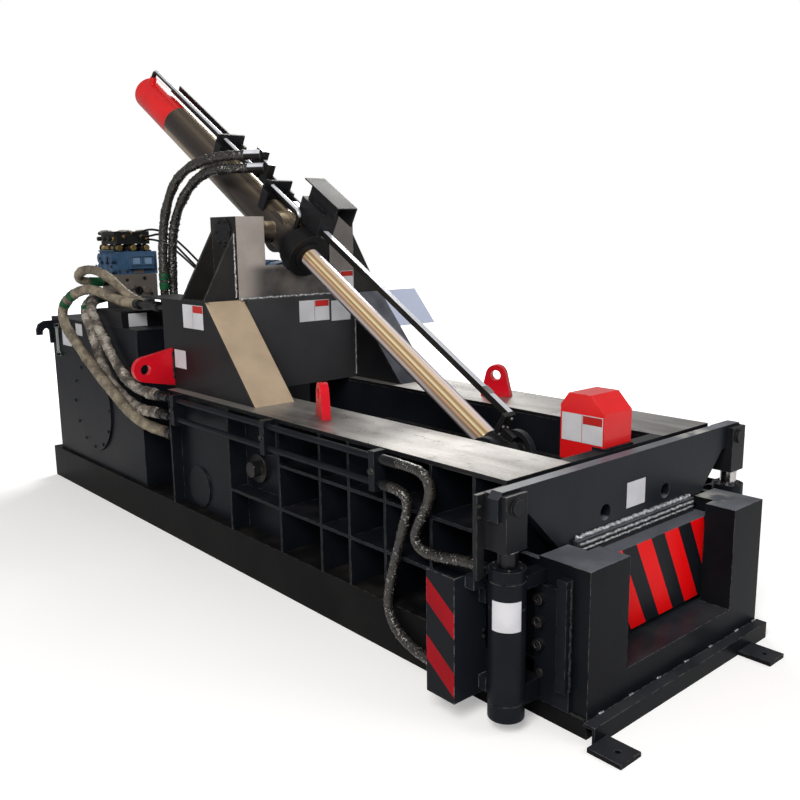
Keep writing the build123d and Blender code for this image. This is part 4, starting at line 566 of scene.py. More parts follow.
# On the films the edge colour is the colour of their painted glints
SANDY_FILM = Finish("film_hose", (0.29, 0.245, 0.18), (0.165, 0.14, 0.104), 0.36, 0.2, blotch=8.0,
                    depth=0.0009, edge_colour=(0.5, 0.45, 0.36), edge_share=0.0, dust=0.1, grime_and_shade=0.4,
                    pattern=Pattern.RIPPLED)
BROWN_FILM = Finish("brown_film", (0.36, 0.325, 0.28), (0.12, 0.104, 0.086), 0.28, 0.2, blotch=12.0,
                    depth=0.0012, edge_colour=(0.82, 0.8, 0.76), edge_share=0.0, dust=0.1,
                    pattern=Pattern.RIPPLED)
BLACK_FILM = Finish("black_hose", (0.007, 0.007, 0.007), (0.022, 0.02, 0.017), 0.22, 0.2, blotch=16.0,
                    depth=0.0012, edge_colour=(0.4, 0.39, 0.37), edge_share=0.0, dust=0.02, specular=0.6,
                    pattern=Pattern.RIPPLED)
RUBBER = Finish("black_rubber", (0.007, 0.007, 0.007), (0.012, 0.012, 0.012), 0.45, 0.15, edge_share=0.1, dust=0.1)
GREEN_TAPE = Finish("green_tape", (0.015, 0.12, 0.045), (0.008, 0.07, 0.028), 0.35, 0.2, blotch=30.0,
                    depth=0.001, edge_share=0.0, dust=0.1)
WELD = Finish("weld_bead", (0.26, 0.26, 0.27), (0.58, 0.58, 0.6), 0.36, 0.3, 0.6, 45.0, 260.0, 0.0015,
              edge_share=0.0, dust=0.05)
DARK_WELD = Finish("painted_weld", (0.009, 0.0095, 0.012), (0.03, 0.03, 0.03), 0.34, 0.2, 0.1, 60.0, 260.0,
                   0.0015, edge_share=0.0, dust=0.2)
PAPER = Finish("blank_label", (0.62, 0.62, 0.65), (0.55, 0.55, 0.58), 0.35, 0.15, blotch=8.0, edge_share=0.0,
               dust=0.1, depth=0.0002)
LABEL_RED = Finish("label_red", (0.5, 0.02, 0.018), (0.42, 0.018, 0.015), 0.35, 0.15, edge_share=0.0, dust=0.1,
                   depth=0.0002)
GLASS = Finish("gauge_glass", (0.6, 0.66, 0.64), (0.5, 0.56, 0.54), 0.1, 0.05, edge_share=0.2, dust=0.1,
               transmission=0.5)
CLEAR_FILM = Finish("clear_film", (0.46, 0.45, 0.43), (0.22, 0.21, 0.2), 0.25, 0.2, blotch=40.0, edge_share=0.0,
                    dust=0.05, specular=0.5)
BLACK_PLASTIC = Finish("black_plastic", (0.008, 0.008, 0.009), (0.018, 0.018, 0.02), 0.4, 0.15, dust=0.15)


class Workshop:
    """Counts the pieces and reports each."""

    pieces: int = 0

    @classmethod
    def report(cls, piece: Thing, body: str) -> None:
        """Logs a piece and counts it."""
        cls.pieces += 1
        log.info("piece %d: %s on %s", cls.pieces, piece.name, body)


# Surfaces


@dataclass(frozen=True)
class Crossing:
    """A piece's way across a joint: a first and a second body, and a start and an end point."""

    first: str
    second: str
    start: Point
    end: Point


@dataclass
class Surface:
    """Vertices and faces in the row frame, which grow as shapes are added."""

    points: list[np.ndarray] = field(default_factory=list)
    quads: list[np.ndarray] = field(default_factory=list)
    caps: list[list[int]] = field(default_factory=list)
    count: int = 0

    def grid(self, rings: np.ndarray) -> "Surface":
        """Adds a tube of closed rings with a cap at each end.

        Args:
            rings: an array of rings by points by three coordinates, each ring closed on itself.
        Returns:
            The surface.
        """
        rows, columns = rings.shape[:2]
        row = np.arange(rows - 1)[:, None] * columns
        column = np.arange(columns)[None, :]
        after = (column + 1) % columns
        quads = np.stack([row + column, row + after, row + columns + after, row + columns + column], axis=-1)
        last = self.count + (rows - 1) * columns
        self.caps += [list(range(self.count, self.count + columns))[::-1], list(range(last, last + columns))]
        self.points.append(np.asarray(rings, float).reshape(-1, 3))
        self.quads.append(quads.reshape(-1, 4) + self.count)
        self.count += rows * columns
        return self

    def ring_shape(self, profile: list[tuple[float, float]], origin: Point, direction: Point, sides: int = 48,
                   turn: float = 0.0) -> "Surface":
        """Adds a turned shape: each (height, radius) of the profile swept round the direction.

        Args:
            profile: heights along the direction and radii, in metres.
            origin: where height 0 lies.
            direction: the axis.
            sides: points round it; 6 makes a hexagon.
            turn: angle of the first point, in radians.
        Returns:
            The surface.
        """
        across, up, axis = basis(direction)
        angle = np.linspace(0, 2 * math.pi, sides, endpoint=False) + turn
        rim = np.cos(angle)[:, None] * across + np.sin(angle)[:, None] * up
        heights = np.array([h for h, _ in profile])[:, None, None]
        radii = np.array([max(r, 1e-5) for _, r in profile])[:, None, None]
        return self.grid(np.asarray(origin, float) + heights * axis + radii * rim[None])

    def block(self, low: Point, high: Point, bevel: float = 0.002) -> "Surface":
        """Adds a block with cut-back edges: four rectangles, the outer two drawn in by the bevel.

        Args:
            low: one corner.
            high: the corner across.
            bevel: how far the edges are cut back, in metres.
        Returns:
            The surface.
        """
        first, last = np.minimum(low, high).astype(float), np.maximum(low, high).astype(float)
        cut = min(bevel, float((last - first).min()) * 0.45)
        rings = []
        for inset, height in ((cut, first[2]), (0.0, first[2] + cut), (0.0, last[2] - cut), (cut, last[2])):
            w, e, s, n = first[0] + inset, last[0] - inset, first[1] + inset, last[1] - inset
            rings.append([(w + cut, s, height), (e - cut, s, height), (e, s + cut, height), (e, n - cut, height),
                          (e - cut, n, height), (w + cut, n, height), (w, n - cut, height), (w, s + cut, height)])
        return self.grid(np.array(rings))

    def slanted_block(self, low: Point, high: Point, bevel: float = 0.002) -> "Surface":
        """Adds a block in the lid cylinder's own frame.

        Args:
            low: one corner, as reach along the cylinder, side, and rise above its axis.
            high: the corner across.
            bevel: how far the edges are cut back, in metres.
        Returns:
            The surface.
        """
        self.block(low, high, bevel)
        local = self.points[-1]
        self.points[-1] = TRUNNION + local[:, :1] * ALONG + local[:, 1:2] * SIDEWAYS + local[:, 2:3] * ABOVE
        return self

    def tube(self, path: np.ndarray, radius: "np.ndarray | float", sides: int = 12) -> "Surface":
        """Adds a tube along a path: rings square to its tangent.

        Args:
            path: the points of its centre line.
            radius: one radius, or one for each point.
            sides: points round it.
        Returns:
            The surface.
        """
        path = np.asarray(path, float)
        reference = (0.31, 0.17, 0.93)
        if abs(float((tangents(path) @ np.array(reference)).mean())) > 0.85:
            reference = (0.93, 0.31, 0.17)
        size = np.broadcast_to(np.asarray(radius, float), (len(path),))[:, None, None]
        return self.grid(path[:, None] + rims(path, reference, sides) * size)

    def mirrored(self) -> "Surface":
        """Adds the mirror image on the other side of the centre plane.

        Returns:
            The surface.
        """
        self.points += [array * np.array([1.0, -1.0, 1.0]) for array in self.points]
        self.quads += [array[:, ::-1] + self.count for array in self.quads]
        self.caps += [[index + self.count for index in cap[::-1]] for cap in self.caps]
        self.count *= 2
        return self

    def piece(self, name: str, finish: Finish, body: "str | Crossing" = "root", sharp: float = 30.0) -> Thing:
        """Makes the object, gives it its finish and lets it ride on a body; a piece across a joint rides on none.

        Args:
            name: the piece's name.
            finish: its finish.
            body: the CAD body that it moves with, or its way across a joint.
            sharp: edges that turn by more than this, in degrees, stay sharp.
        Returns:
            The object.
        """
        mesh = bpy.data.meshes.new(name)
        mesh.from_pydata(np.concatenate(self.points), [], np.concatenate(self.quads).tolist() + self.caps)
        mesh.update()
        work = bmesh.new()
        work.from_mesh(mesh)
        bmesh.ops.remove_doubles(work, verts=work.verts, dist=1e-6)
        bmesh.ops.recalc_face_normals(work, faces=work.faces)
        work.to_mesh(mesh)
        work.free()
        mesh.polygons.foreach_set("use_smooth", np.ones(len(mesh.polygons), bool))
        mesh.set_sharp_from_angle(angle=math.radians(sharp))
        made = shown(name, mesh)
        mesh.materials.append(finish.material())
        if isinstance(body, Crossing):
            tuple(body.start)
            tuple(body.end)
            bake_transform(made)
        else:
            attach(made, body)
        Workshop.report(made, str(body))
        return made


def shown(name: str, data: bpy.types.ID) -> Thing:
    """Puts a new object into the scene.

    Args:
        name: its name.
        data: its mesh, curve, lamp or camera.
    Returns:
        The object.
    """
    made = bpy.data.objects.new(name, data)
    bpy.context.scene.collection.objects.link(made)
    return made


def basis(direction: Point) -> tuple[np.ndarray, np.ndarray, np.ndarray]:
    """Three unit vectors square to each other, from cross products with an upright helper.

    Args:
        direction: the way of the last vector, of any length.
    Returns:
        Across, up and the direction itself.
    """
    axis = np.asarray(direction, float)
    axis = axis / np.linalg.norm(axis)
    helper = np.array(UP if abs(axis[2]) < 0.9 else FRONT)
    across = np.cross(helper, axis)
    across /= np.linalg.norm(across)
    return across, np.cross(axis, across), axis


def tangents(path: np.ndarray) -> np.ndarray:
    """Unit vectors along a path."""
    step = np.gradient(path, axis=0)
    return step / np.linalg.norm(step, axis=1, keepdims=True)


def rims(path: np.ndarray, reference: Point, sides: int) -> np.ndarray:
    """Unit rings square to a path: the cosine and sine of a full turn on two vectors square to its tangent.

    Args:
        path: the path's points.
        reference: a direction that the path doesn't run along, which the first vector is square to.
        sides: points in a ring.
    Returns:
        An array of rings by sides by three coordinates.
    """
    along = tangents(path)
    across = np.cross(along, np.array(reference))
    across /= np.linalg.norm(across, axis=1, keepdims=True)
    up = np.cross(along, across)
    angle = np.linspace(0, 2 * math.pi, sides, endpoint=False)
    return np.cos(angle)[None, :, None] * across[:, None] + np.sin(angle)[None, :, None] * up[:, None]


def on_cylinder(reach: float, side: float, rise: float) -> np.ndarray:
    """A point in the row frame from a reach along the lid cylinder, a side and a rise."""
    return TRUNNION + reach * ALONG + side * SIDEWAYS + rise * ABOVE


# Camera, light and floor


@dataclass
class Studio:
    """The camera of the photograph, plain soft light and a pale floor."""

    place: Point = (1.8703, -3.2533, 1.9681)
    yaw_deg: float = 48.86
    pitch_deg: float = 10.89
    roll_deg: float = -0.73
    lens: float = 39.21
    sensor: float = 36.0
    reach: float = 100.0
    lamp_size: float = 4.0
    world_share: float = 0.34
    floor_centre: float = -2.5
    floor_radius: float = 30.0
    floor_sides: int = 96
    floor_glow: float = 1.3
    near_glow: float = 0.3
    glow_edge: tuple[float, float] = (14.0, 60.0)

    def camera(self) -> None:
        """Makes the camera: it looks along the yaw and pitch, rolled about its own axis."""
        yaw, pitch, roll = (math.radians(a) for a in (self.yaw_deg, self.pitch_deg, self.roll_deg))
        forward = Vector((-math.sin(yaw) * math.cos(pitch), math.cos(yaw) * math.cos(pitch), -math.sin(pitch)))
        right = forward.cross(Vector((0, 0, 1))).normalized()
        up = right.cross(forward)
        side = right * math.cos(roll) + up * math.sin(roll)
        top = -right * math.sin(roll) + up * math.cos(roll)
        data = bpy.data.cameras.new("camera")
        data.lens = self.lens
        data.sensor_width = self.sensor
        data.clip_end = self.reach
        made = shown("camera", data)
        turn = Matrix((side, top, -forward)).transposed()
        made.matrix_world = Matrix.Translation(self.place) @ turn.to_4x4()
        bpy.context.scene.camera = made

    def lamp(self, name: str, place: Point, aim: Point, power: float, colour: Colour) -> None:
        """Adds a square area lamp.

        Args:
            name: its name.
            place: where it stands.
            aim: the point that it looks at.
            power: its power in watts.
            colour: its colour.
        """
        data = bpy.data.lights.new(name, "AREA")
        data.size = self.lamp_size
        data.energy = power
        data.color = colour
        made = shown(name, data)
        made.location = place
        made.rotation_euler = (Vector(aim) - Vector(place)).to_track_quat("-Z", "Y").to_euler()

    def light(self) -> None:
        """Adds the lamps and a white world that lights the scene by less than the camera sees of it."""
        self.lamp("key", (2.5, -6.5, 6.5), (-2.0, 0.0, 0.8), 620.0, (1.0, 0.97, 0.93))
        self.lamp("fill", (5.5, 2.5, 4.5), (-1.0, 0.0, 0.8), 130.0, (0.92, 0.96, 1.0))
        self.lamp("back", (-7.0, 4.5, 6.0), (-2.5, 0.0, 1.2), 420.0, (1.0, 0.98, 0.95))
        world = bpy.data.worlds.new("studio")
        bpy.context.scene.world = world
        world.use_nodes = True
        nodes = Nodes(world.node_tree)
        seen = nodes.node("ShaderNodeLightPath", {}, {}).outputs["Is Camera Ray"]
        strength = nodes.node("ShaderNodeMapRange", {}, {"Value": seen, "To Min": self.world_share, "To Max": 1.0})
        shade = nodes.node("ShaderNodeBackground", {}, {"Color": WHITE, "Strength": strength.outputs[0]})
        nodes.node("ShaderNodeOutputWorld", {}, {"Surface": shade.outputs[0]})

    def floor(self) -> None:
        """Lays a wide pale disc under the machine, which glows more the further it lies from the middle."""
        angle = np.linspace(0, 2 * math.pi, self.floor_sides, endpoint=False)
        across, up = np.cos(angle) * self.floor_radius, np.sin(angle) * self.floor_radius
        rim = np.stack([across + self.floor_centre, up, 0 * up], axis=1)
        mesh = bpy.data.meshes.new("floor")
        mesh.from_pydata(rim, [], [list(range(self.floor_sides))])
        made = shown("floor", mesh)
        shader = Shader("pale_floor")
        cloud = shader.noise(0.6, 3.0)
        shader.set("Base Color", shader.blend(cloud, (0.84, 0.84, 0.84), (0.86, 0.86, 0.86)))
        shader.set("Roughness", 0.8)
        seen = Field(shader, shader.node("ShaderNodeLightPath", {}, {}).outputs["Is Camera Ray"])
        east, north = shader.axis(0) - self.floor_centre, shader.axis(1)
        share = seen * (self.near_glow + (east * east + north * north).step(*self.glow_edge)) / self.floor_glow
        shader.set("Emission Color", shader.blend(share, (0.0, 0.0, 0.0), WHITE))
        shader.set("Emission Strength", self.floor_glow)
        mesh.materials.append(shader.material)

    def build(self) -> None:
        """Makes the camera, the lamps and the floor."""
        self.camera()
        self.light()
        self.floor()
        bpy.context.scene.view_settings.view_transform = "Standard"
        log.info("studio ready")


# Hoses


class Wrap(Enum):
    """What a hose is wrapped in."""

    SANDY = "sandy"
    BROWN = "brown"
    BLACK = "black"
    NONE = "none"


WRAPS = {Wrap.SANDY: SANDY_FILM, Wrap.BROWN: BROWN_FILM, Wrap.BLACK: BLACK_FILM, Wrap.NONE: RUBBER}


@dataclass
class Hose:
    """One hose on a smooth curve through given points, from fitting to fitting."""

    name: str
    node: str
    wrap: Wrap
    radius: float
    length: float
    points: list[Point]
    tape: tuple[float, ...] = ()
    body: "str | Crossing" = "root"
    step: float = 0.004
    sides: int = 28
    band_half: int = 6

    def build(self) -> None:
        """A hose that crosses a joint is a tube carried along the curve.
        """
        made = self.curve()
        path, along = spine(made, self.step)
        route = None
        if isinstance(self.body, Crossing):
            data = made.data
            bpy.data.objects.remove(made)
            bpy.data.curves.remove(data)
            route = path[::3]
            made = Surface().tube(route, self.radius, self.sides).piece(self.name, WRAPS[self.wrap], self.body, 60)
        else:
            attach(made, self.body)
            Workshop.report(made, self.body)
        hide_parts(self.node)
        "film_hose" if self.wrap in (Wrap.SANDY, Wrap.BROWN) else "black_hose"
        pieces = [] if self.wrap is Wrap.NONE else self.wrapping(path, along)
        for piece in pieces:
            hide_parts(self.node)
        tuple(self.points[0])

    def curve(self) -> Thing:
        """Makes the smooth curve through the hose's points.

        Returns:
            The curve's object.
        """
        curve = bpy.data.curves.new(self.name, "CURVE")
        curve.dimensions = "3D"
        curve.bevel_depth = self.radius
        curve.bevel_resolution = 6
        curve.resolution_u = 10
        curve.use_fill_caps = True
        spline = curve.splines.new("NURBS")
        spline.points.add(len(self.points) - 1)
        flat = np.ones((len(self.points), 4))
        flat[:, :3] = self.points
        spline.points.foreach_set("co", flat.ravel())
        spline.order_u = 3
        spline.use_endpoint_u = True
        made = shown(self.name, curve)
        curve.materials.append(WRAPS[self.wrap].material())
        return made

    def wrapping(self, path: np.ndarray, along: np.ndarray) -> list[Thing]:
        """Makes the crumpled film and the tape that lie on the hose.

        Args:
            path: points along the hose.
            along: their distances from its start.
        Returns:
            The pieces.
        """
        slim = self.radius < 0.025
        fold = {Wrap.SANDY: 0.0085, Wrap.BROWN: 0.0125, Wrap.BLACK: 0.007 if slim else 0.0105}[self.wrap]
        film = Sleeve(fold).surface(path, along, self.radius, len(self.name) * 7 + int(self.length * 1000))
        pieces = [film.piece(self.name + "_film", WRAPS[self.wrap], self.body, 55)]
        if self.tape:
            bands = Surface()
            for share in self.tape:
                middle = int(share * len(path))
                part = path[max(middle - self.band_half, 0):middle + self.band_half + 1]
                bumps = 0.0055 + 0.0015 * waves(np.arange(len(part)) * 0.005, middle, 0.01, 0.03)
                bands.tube(part, self.radius + bumps, self.sides)
            pieces.append(bands.piece(self.name + "_tape", GREEN_TAPE, self.body, 60))
        return pieces


LID_CROSSING = Crossing("root", "lid_cylinder", (-4.0, -0.33, 1.7), (-3.36, -0.2, 2.46))
HOSES = [
    Hose("drain_hose", "supply_hoses", Wrap.SANDY, 0.0335, 2.58, [
        (-3.88, -0.64, 1.503), (-4.0, -0.64, 1.503), (-4.127, -0.655, 1.515), (-4.301, -0.69, 1.562),
        (-4.42, -0.74, 1.592), (-4.536, -0.78, 1.572), (-4.65, -0.815, 1.522), (-4.745, -0.84, 1.43),
        (-4.705, -0.845, 1.325), (-4.56, -0.843, 1.23), (-4.4, -0.84, 1.142), (-4.247, -0.84, 1.06),
        (-4.1, -0.841, 0.99), (-3.955, -0.84, 0.926), (-3.78, -0.839, 0.848), (-3.64, -0.836, 0.79),
        (-3.53, -0.805, 0.738), (-3.445, -0.735, 0.696), (-3.4, -0.715, 0.69), (-3.35, -0.715, 0.69)],
        (0.3, 0.34)),
    Hose("loop_hose", "supply_hoses", Wrap.SANDY, 0.03, 1.103, [
        (-3.88, -0.56, 1.503), (-3.99, -0.56, 1.503), (-4.11, -0.588, 1.545), (-4.23, -0.615, 1.62),
        (-4.335, -0.643, 1.682), (-4.455, -0.672, 1.724), (-4.585, -0.7, 1.728), (-4.685, -0.722, 1.69),
        (-4.722, -0.69, 1.64), (-4.7, -0.61, 1.625), (-4.7, -0.527, 1.625)], (0.93, 0.97)),
    Hose("upper_hose", "supply_hoses", Wrap.BROWN, 0.03, 1.57, [
        (-4.56, -0.527, 1.515), (-4.56, -0.6, 1.515), (-4.49, -0.695, 1.502), (-4.35, -0.78, 1.455),
        (-4.215, -0.792, 1.35), (-4.07, -0.79, 1.21), (-3.93, -0.789, 1.085), (-3.76, -0.79, 0.99),
        (-3.58, -0.795, 0.958), (-3.42, -0.8, 0.96), (-3.3, -0.8, 0.96)], (0.06, 0.1)),
    Hose("lower_hose", "supply_hoses", Wrap.BROWN, 0.03, 1.787, [
        (-4.7, -0.527, 1.515), (-4.7, -0.6, 1.515), (-4.61, -0.702, 1.472), (-4.48, -0.768, 1.4),
        (-4.375, -0.772, 1.29), (-4.304, -0.771, 1.157), (-4.205, -0.772, 1.022), (-4.06, -0.771, 0.93),
        (-3.893, -0.772, 0.866), (-3.7, -0.774, 0.826), (-3.54, -0.785, 0.818), (-3.41, -0.8, 0.84),
        (-3.3, -0.8, 0.84)], (0.14, 0.17)),
    Hose("outer_lid_hose", "lid_hoses", Wrap.BLACK, 0.029, 1.552, [
        (-3.99, -0.37, 1.49), (-3.99, -0.37, 1.67), (-4.002, -0.36, 1.85), (-3.987, -0.35, 2.03),
        (-3.93, -0.34, 2.185), (-3.825, -0.33, 2.32), (-3.69, -0.315, 2.4), (-3.54, -0.285, 2.447),
        (-3.4, -0.24, 2.472), (-3.305, -0.18, 2.478), (-3.225, -0.12, 2.478)], (0.08, 0.12), LID_CROSSING),
    Hose("inner_lid_hose", "lid_hoses", Wrap.BLACK, 0.029, 1.48, [
        (-3.99, -0.3, 1.49), (-3.99, -0.3, 1.66), (-3.994, -0.292, 1.83), (-3.968, -0.287, 1.985),
        (-3.905, -0.28, 2.125), (-3.8, -0.27, 2.24), (-3.67, -0.262, 2.325), (-3.53, -0.252, 2.375),
        (-3.395, -0.233, 2.393), (-3.278, -0.186, 2.392), (-3.19, -0.12, 2.392)], (), LID_CROSSING),
    Hose("upper_gate_hose", "gate_hoses", Wrap.BLACK, 0.0215, 0.932, [
        (-0.955, -0.8, 0.96), (-0.87, -0.8, 0.96), (-0.785, -0.798, 0.948), (-0.748, -0.793, 0.88),
        (-0.78, -0.79, 0.8), (-0.835, -0.787, 0.715), (-0.872, -0.786, 0.64), (-0.84, -0.785, 0.59),
        (-0.75, -0.785, 0.583), (-0.64, -0.785, 0.6), (-0.55, -0.785, 0.615), (-0.47, -0.785, 0.615)]),
    Hose("lower_gate_hose", "gate_hoses", Wrap.BLACK, 0.0215, 1.354, [
        (-1.01, -0.8, 0.84), (-0.94, -0.8, 0.84), (-0.897, -0.797, 0.8), (-0.912, -0.792, 0.735),
        (-0.946, -0.789, 0.64), (-0.983, -0.787, 0.54), (-1.018, -0.785, 0.44), (-1.046, -0.784, 0.345),
        (-1.06, -0.785, 0.265), (-1.038, -0.786, 0.195), (-0.985, -0.785, 0.14), (-0.905, -0.784, 0.103),
        (-0.815, -0.785, 0.085), (-0.715, -0.786, 0.078), (-0.62, -0.785, 0.086), (-0.545, -0.785, 0.095),
        (-0.47, -0.785, 0.095)]),
    Hose("pilot_hose_1", "pilot_hoses", Wrap.NONE, 0.008, 1.508, [
        (-4.56, -0.26, 1.96), (-4.42, -0.26, 1.96), (-4.26, -0.25, 1.985), (-4.1, -0.228, 1.92),
        (-3.93, -0.212, 1.815), (-3.75, -0.205, 1.72), (-3.57, -0.202, 1.65), (-3.4, -0.2, 1.612),
        (-3.26, -0.2, 1.605), (-3.135, -0.2, 1.605)]),
    Hose("pilot_hose_2", "pilot_hoses", Wrap.NONE, 0.008, 1.541, [
        (-4.56, -0.33, 1.988), (-4.44, -0.33, 1.988), (-4.3, -0.3, 2.02), (-4.14, -0.24, 1.985), (-3.97, -0.2, 1.88),
        (-3.79, -0.178, 1.765), (-3.61, -0.168, 1.67), (-3.43, -0.168, 1.612), (-3.27, -0.17, 1.605),
        (-3.135, -0.17, 1.605)]),
    Hose("pilot_hose_3", "pilot_hoses", Wrap.NONE, 0.008, 1.498, [
        (-4.56, -0.215, 1.94), (-4.43, -0.215, 1.94), (-4.27, -0.185, 1.905), (-4.1, -0.16, 1.82),
        (-3.92, -0.145, 1.725), (-3.74, -0.14, 1.645), (-3.56, -0.139, 1.6), (-3.4, -0.141, 1.592),
        (-3.26, -0.14, 1.605), (-3.135, -0.14, 1.605)]),
]


# Shapes that lie along a line


def waves(along: np.ndarray, seed: int, low: float, high: float) -> np.ndarray:
    """Irregular waves: the mean of six sines of the place.

    Args:
        along: the places, in metres.
        seed: number that sets the sines' lengths and starts.
        low: the shortest wavelength, in metres.
        high: the longest.
    Returns:
        One value from -1 to 1 for each place.
    """
    rng = np.random.default_rng(seed)
    lengths = rng.uniform(low, high, 6)[:, None]
    starts = rng.uniform(0, 2 * math.pi, 6)[:, None]
    return np.sin(2 * math.pi * along[None] / lengths + starts).mean(axis=0)


def spread(points: np.ndarray, spacing: float) -> tuple[np.ndarray, np.ndarray]:
    """Points set at even spacing along a polyline.

    Args:
        points: the polyline's points.
        spacing: the distance wanted, in metres.
    Returns:
        The new points and their distances from the start.
    """
    points = np.asarray(points, float)
    run = np.concatenate([[0.0], np.cumsum(np.linalg.norm(np.diff(points, axis=0), axis=1))])
    along = np.linspace(0.0, run[-1], max(int(run[-1] / spacing), 4))
    return np.stack([np.interp(along, run, points[:, i]) for i in range(3)], axis=1), along


BEAD_STEP = 0.002
BEAD_RIPPLE = 0.008


def add_bead(surface: Surface, points: list, radius: float, seed: int) -> None:
    """Adds a weld bead: a tube whose radius swells at each ripple and wanders with slow waves.

    Args:
        surface: the surface that grows.
        points: the bead's line.
        radius: its usual radius, in metres.
        seed: number that sets the waves.
    """
    path, along = spread(np.array(points, float), BEAD_STEP)
    ripple = np.abs(np.sin(math.pi * along / BEAD_RIPPLE))
    size = radius * (0.78 + 0.3 * ripple + 0.3 * waves(along, seed, 0.012, 0.05))
    path = path + np.stack([waves(along, seed + k, 0.02, 0.09) for k in (1, 2, 3)], axis=1) * radius * 0.5
    size[[0, -1]] *= 0.4
    surface.tube(path, size, 8)


def circle(centre: Point, direction: Point, radius: float, count: int = 120) -> np.ndarray:
    """Points once round a circle.

    Args:
        centre: its centre.
        direction: its axis.
        radius: its radius, in metres.
        count: how many points; the last lies on the first.
    Returns:
        The points.
    """
    across, up, _ = basis(direction)
    angle = np.linspace(0, 2 * math.pi, count)[:, None]
    return np.asarray(centre, float) + radius * (np.cos(angle) * across + np.sin(angle) * up)


def spine(cord: Thing, spacing: float) -> tuple[np.ndarray, np.ndarray]:
    """Points at even spacing on a cord's smooth curve.

    Args:
        cord: the curve's object.
        spacing: the distance wanted, in metres.
    Returns:
        The points and their distances from its start.
    """
    bare = cord.copy()
    bare.data = cord.data.copy()
    bare.data.bevel_depth = 0.0
    line = bpy.data.meshes.new_from_object(bare)
    flat = np.empty(len(line.vertices) * 3)
    line.vertices.foreach_get("co", flat)
    bpy.data.meshes.remove(line)
    bpy.data.curves.remove(bare.data)
    return spread(flat.reshape(-1, 3), spacing)


@dataclass
class Sleeve:
    """Crumpled film round a hose: the tube's radius rises in slanting folds and fine creases."""

    fold: float
    pitch: float = 0.055
    sides: int = 30
    gap: float = 0.0006

    def surface(self, path: np.ndarray, along: np.ndarray, radius: float, seed: int) -> Surface:
        """Works out the film: folds, creases and lumps are sums of sines of the place and the turn.

        Args:
            path: points along the hose.
            along: their distances from its start.
            radius: the hose's radius.
            seed: number that sets the folds.
        Returns:
            The surface.
        """
        turn = np.linspace(0, 2 * math.pi, self.sides, endpoint=False)[None, :]
        drift = waves(along, seed, 0.1, 0.3)[:, None]
        loose = np.clip(0.75 + 0.9 * waves(along, seed + 3, 0.15, 0.5), 0.25, 1.5)[:, None]
        folds = 1 - np.abs(np.sin(math.pi * along[:, None] / self.pitch + turn + 3.5 * drift))
        fine = 1 - np.abs(np.sin(2 * turn - along[:, None] * 210 + 9 * drift))
        cross = 1 - np.abs(np.sin(3 * turn + along[:, None] * 130 + 7 * drift))
        rough = waves(along, seed + 5, 0.012, 0.05)[:, None] * np.cos(2 * turn + drift * 4)
        lump = 0.45 * folds**2 + 0.28 * fine**2 + 0.25 * cross**2 + 0.4 * rough + 0.08
        size = radius + self.gap + self.fold * loose * np.clip(lump, 0, 1)
        return Surface().grid(path[:, None] + rims(path, (0.31, 0.93, 0.17), self.sides) * size[:, :, None])


# Fittings


def add_bolt(surface: Surface, place: Point, direction: Point, size: float, turn: float = 0.0) -> None:
    """Adds a washer and a hexagon head with cut-back corners.

    Args:
        surface: the surface that grows.
        place: the centre of the washer's foot.
        direction: the way the head points.
        size: the head's width across corners, in metres.
        turn: the head's turn about its axis.
    """
    half = size / 2
    axis = np.asarray(direction, float) / np.linalg.norm(direction)
    washer = [(0, half * 1.2), (size * 0.1, half * 1.2), (size * 0.13, half * 1.12)]
    head = [(0.0, half), (size * 0.32, half), (size * 0.4, half * 0.86), (size * 0.4, half * 0.4)]
    surface.ring_shape(washer, place, axis, 32)
    surface.ring_shape(head, np.asarray(place, float) + axis * size * 0.12, axis, 6, turn)


def add_socket_screw(surface: Surface, place: Point, direction: Point, radius: float) -> None:
    """Adds a round screw head with a hexagon socket sunk in it."""
    profile = ((0, 1), (0.9, 1), (1, 0.9), (1, 0.55), (0.5, 0.5), (0.5, 0.01))
    surface.ring_shape([(radius * height, radius * reach) for height, reach in profile], place, direction, 24)


@dataclass
class Fasteners:
    """Screws and bolts that the CAD solids leave plain."""

    guard_place: tuple[float, float] = (-0.4, -0.838)
    guard_heights: tuple[float, ...] = (0.619, 0.592, 0.379, 0.352, 0.157, 0.13)
    gland: Point = (-0.27, -0.84, 0.69)
    gland_ring: float = 0.06
    clamp_stations: tuple[float, ...] = (-3.06, -2.03, -1.11)
    bar_place: tuple[float, float] = (-0.33, -0.942)
    bar_heights: tuple[float, ...] = (0.94, 0.897)
    bracket_reach: float = 2.146
    bracket_bolts: Pairs = ((0.018, 0.065), (0.018, 0.115), (0.058, 0.1), (0.058, 0.16))

    def build(self) -> None:
        """Makes the screws of the frame and of the gate's bars, and the bolts at the guide bar's end."""
        fixed, moving, bracket = Surface(), Surface(), Surface()
        for height in self.guard_heights:
            add_socket_screw(fixed, (*self.guard_place, height), FRONT, 0.0075)
        for angle in np.arange(6) * math.pi / 3 + 0.3:
            east, side = self.gland_ring * math.cos(angle), self.gland_ring * math.sin(angle)
            add_socket_screw(fixed, (self.gland[0] + east, self.gland[1] + side, self.gland[2]), UP, 0.006)
        fixed.mirrored()
        for station in self.clamp_stations:
            add_bolt(fixed, (station, -0.83, 0.9), NEAR, 0.028, 0.2)
        fixed.piece("root_screws", DARK_STEEL)
        for height in self.bar_heights:
            add_socket_screw(moving, (*self.bar_place, height), FRONT, 0.0075)
        moving.mirrored().piece("bar_screws", DARK_STEEL, "gate")
        for side, rise in self.bracket_bolts:
            add_bolt(bracket, tuple(on_cylinder(self.bracket_reach, side, rise)), tuple(ALONG), 0.016)
        bracket.slanted_block((1.905, 0.04, 0.184), (1.965, 0.08, 0.192))
        bracket.piece("bar_clamp_bolts", STEEL, "lid_rod")


Bead = tuple[Point, Point, float, int]


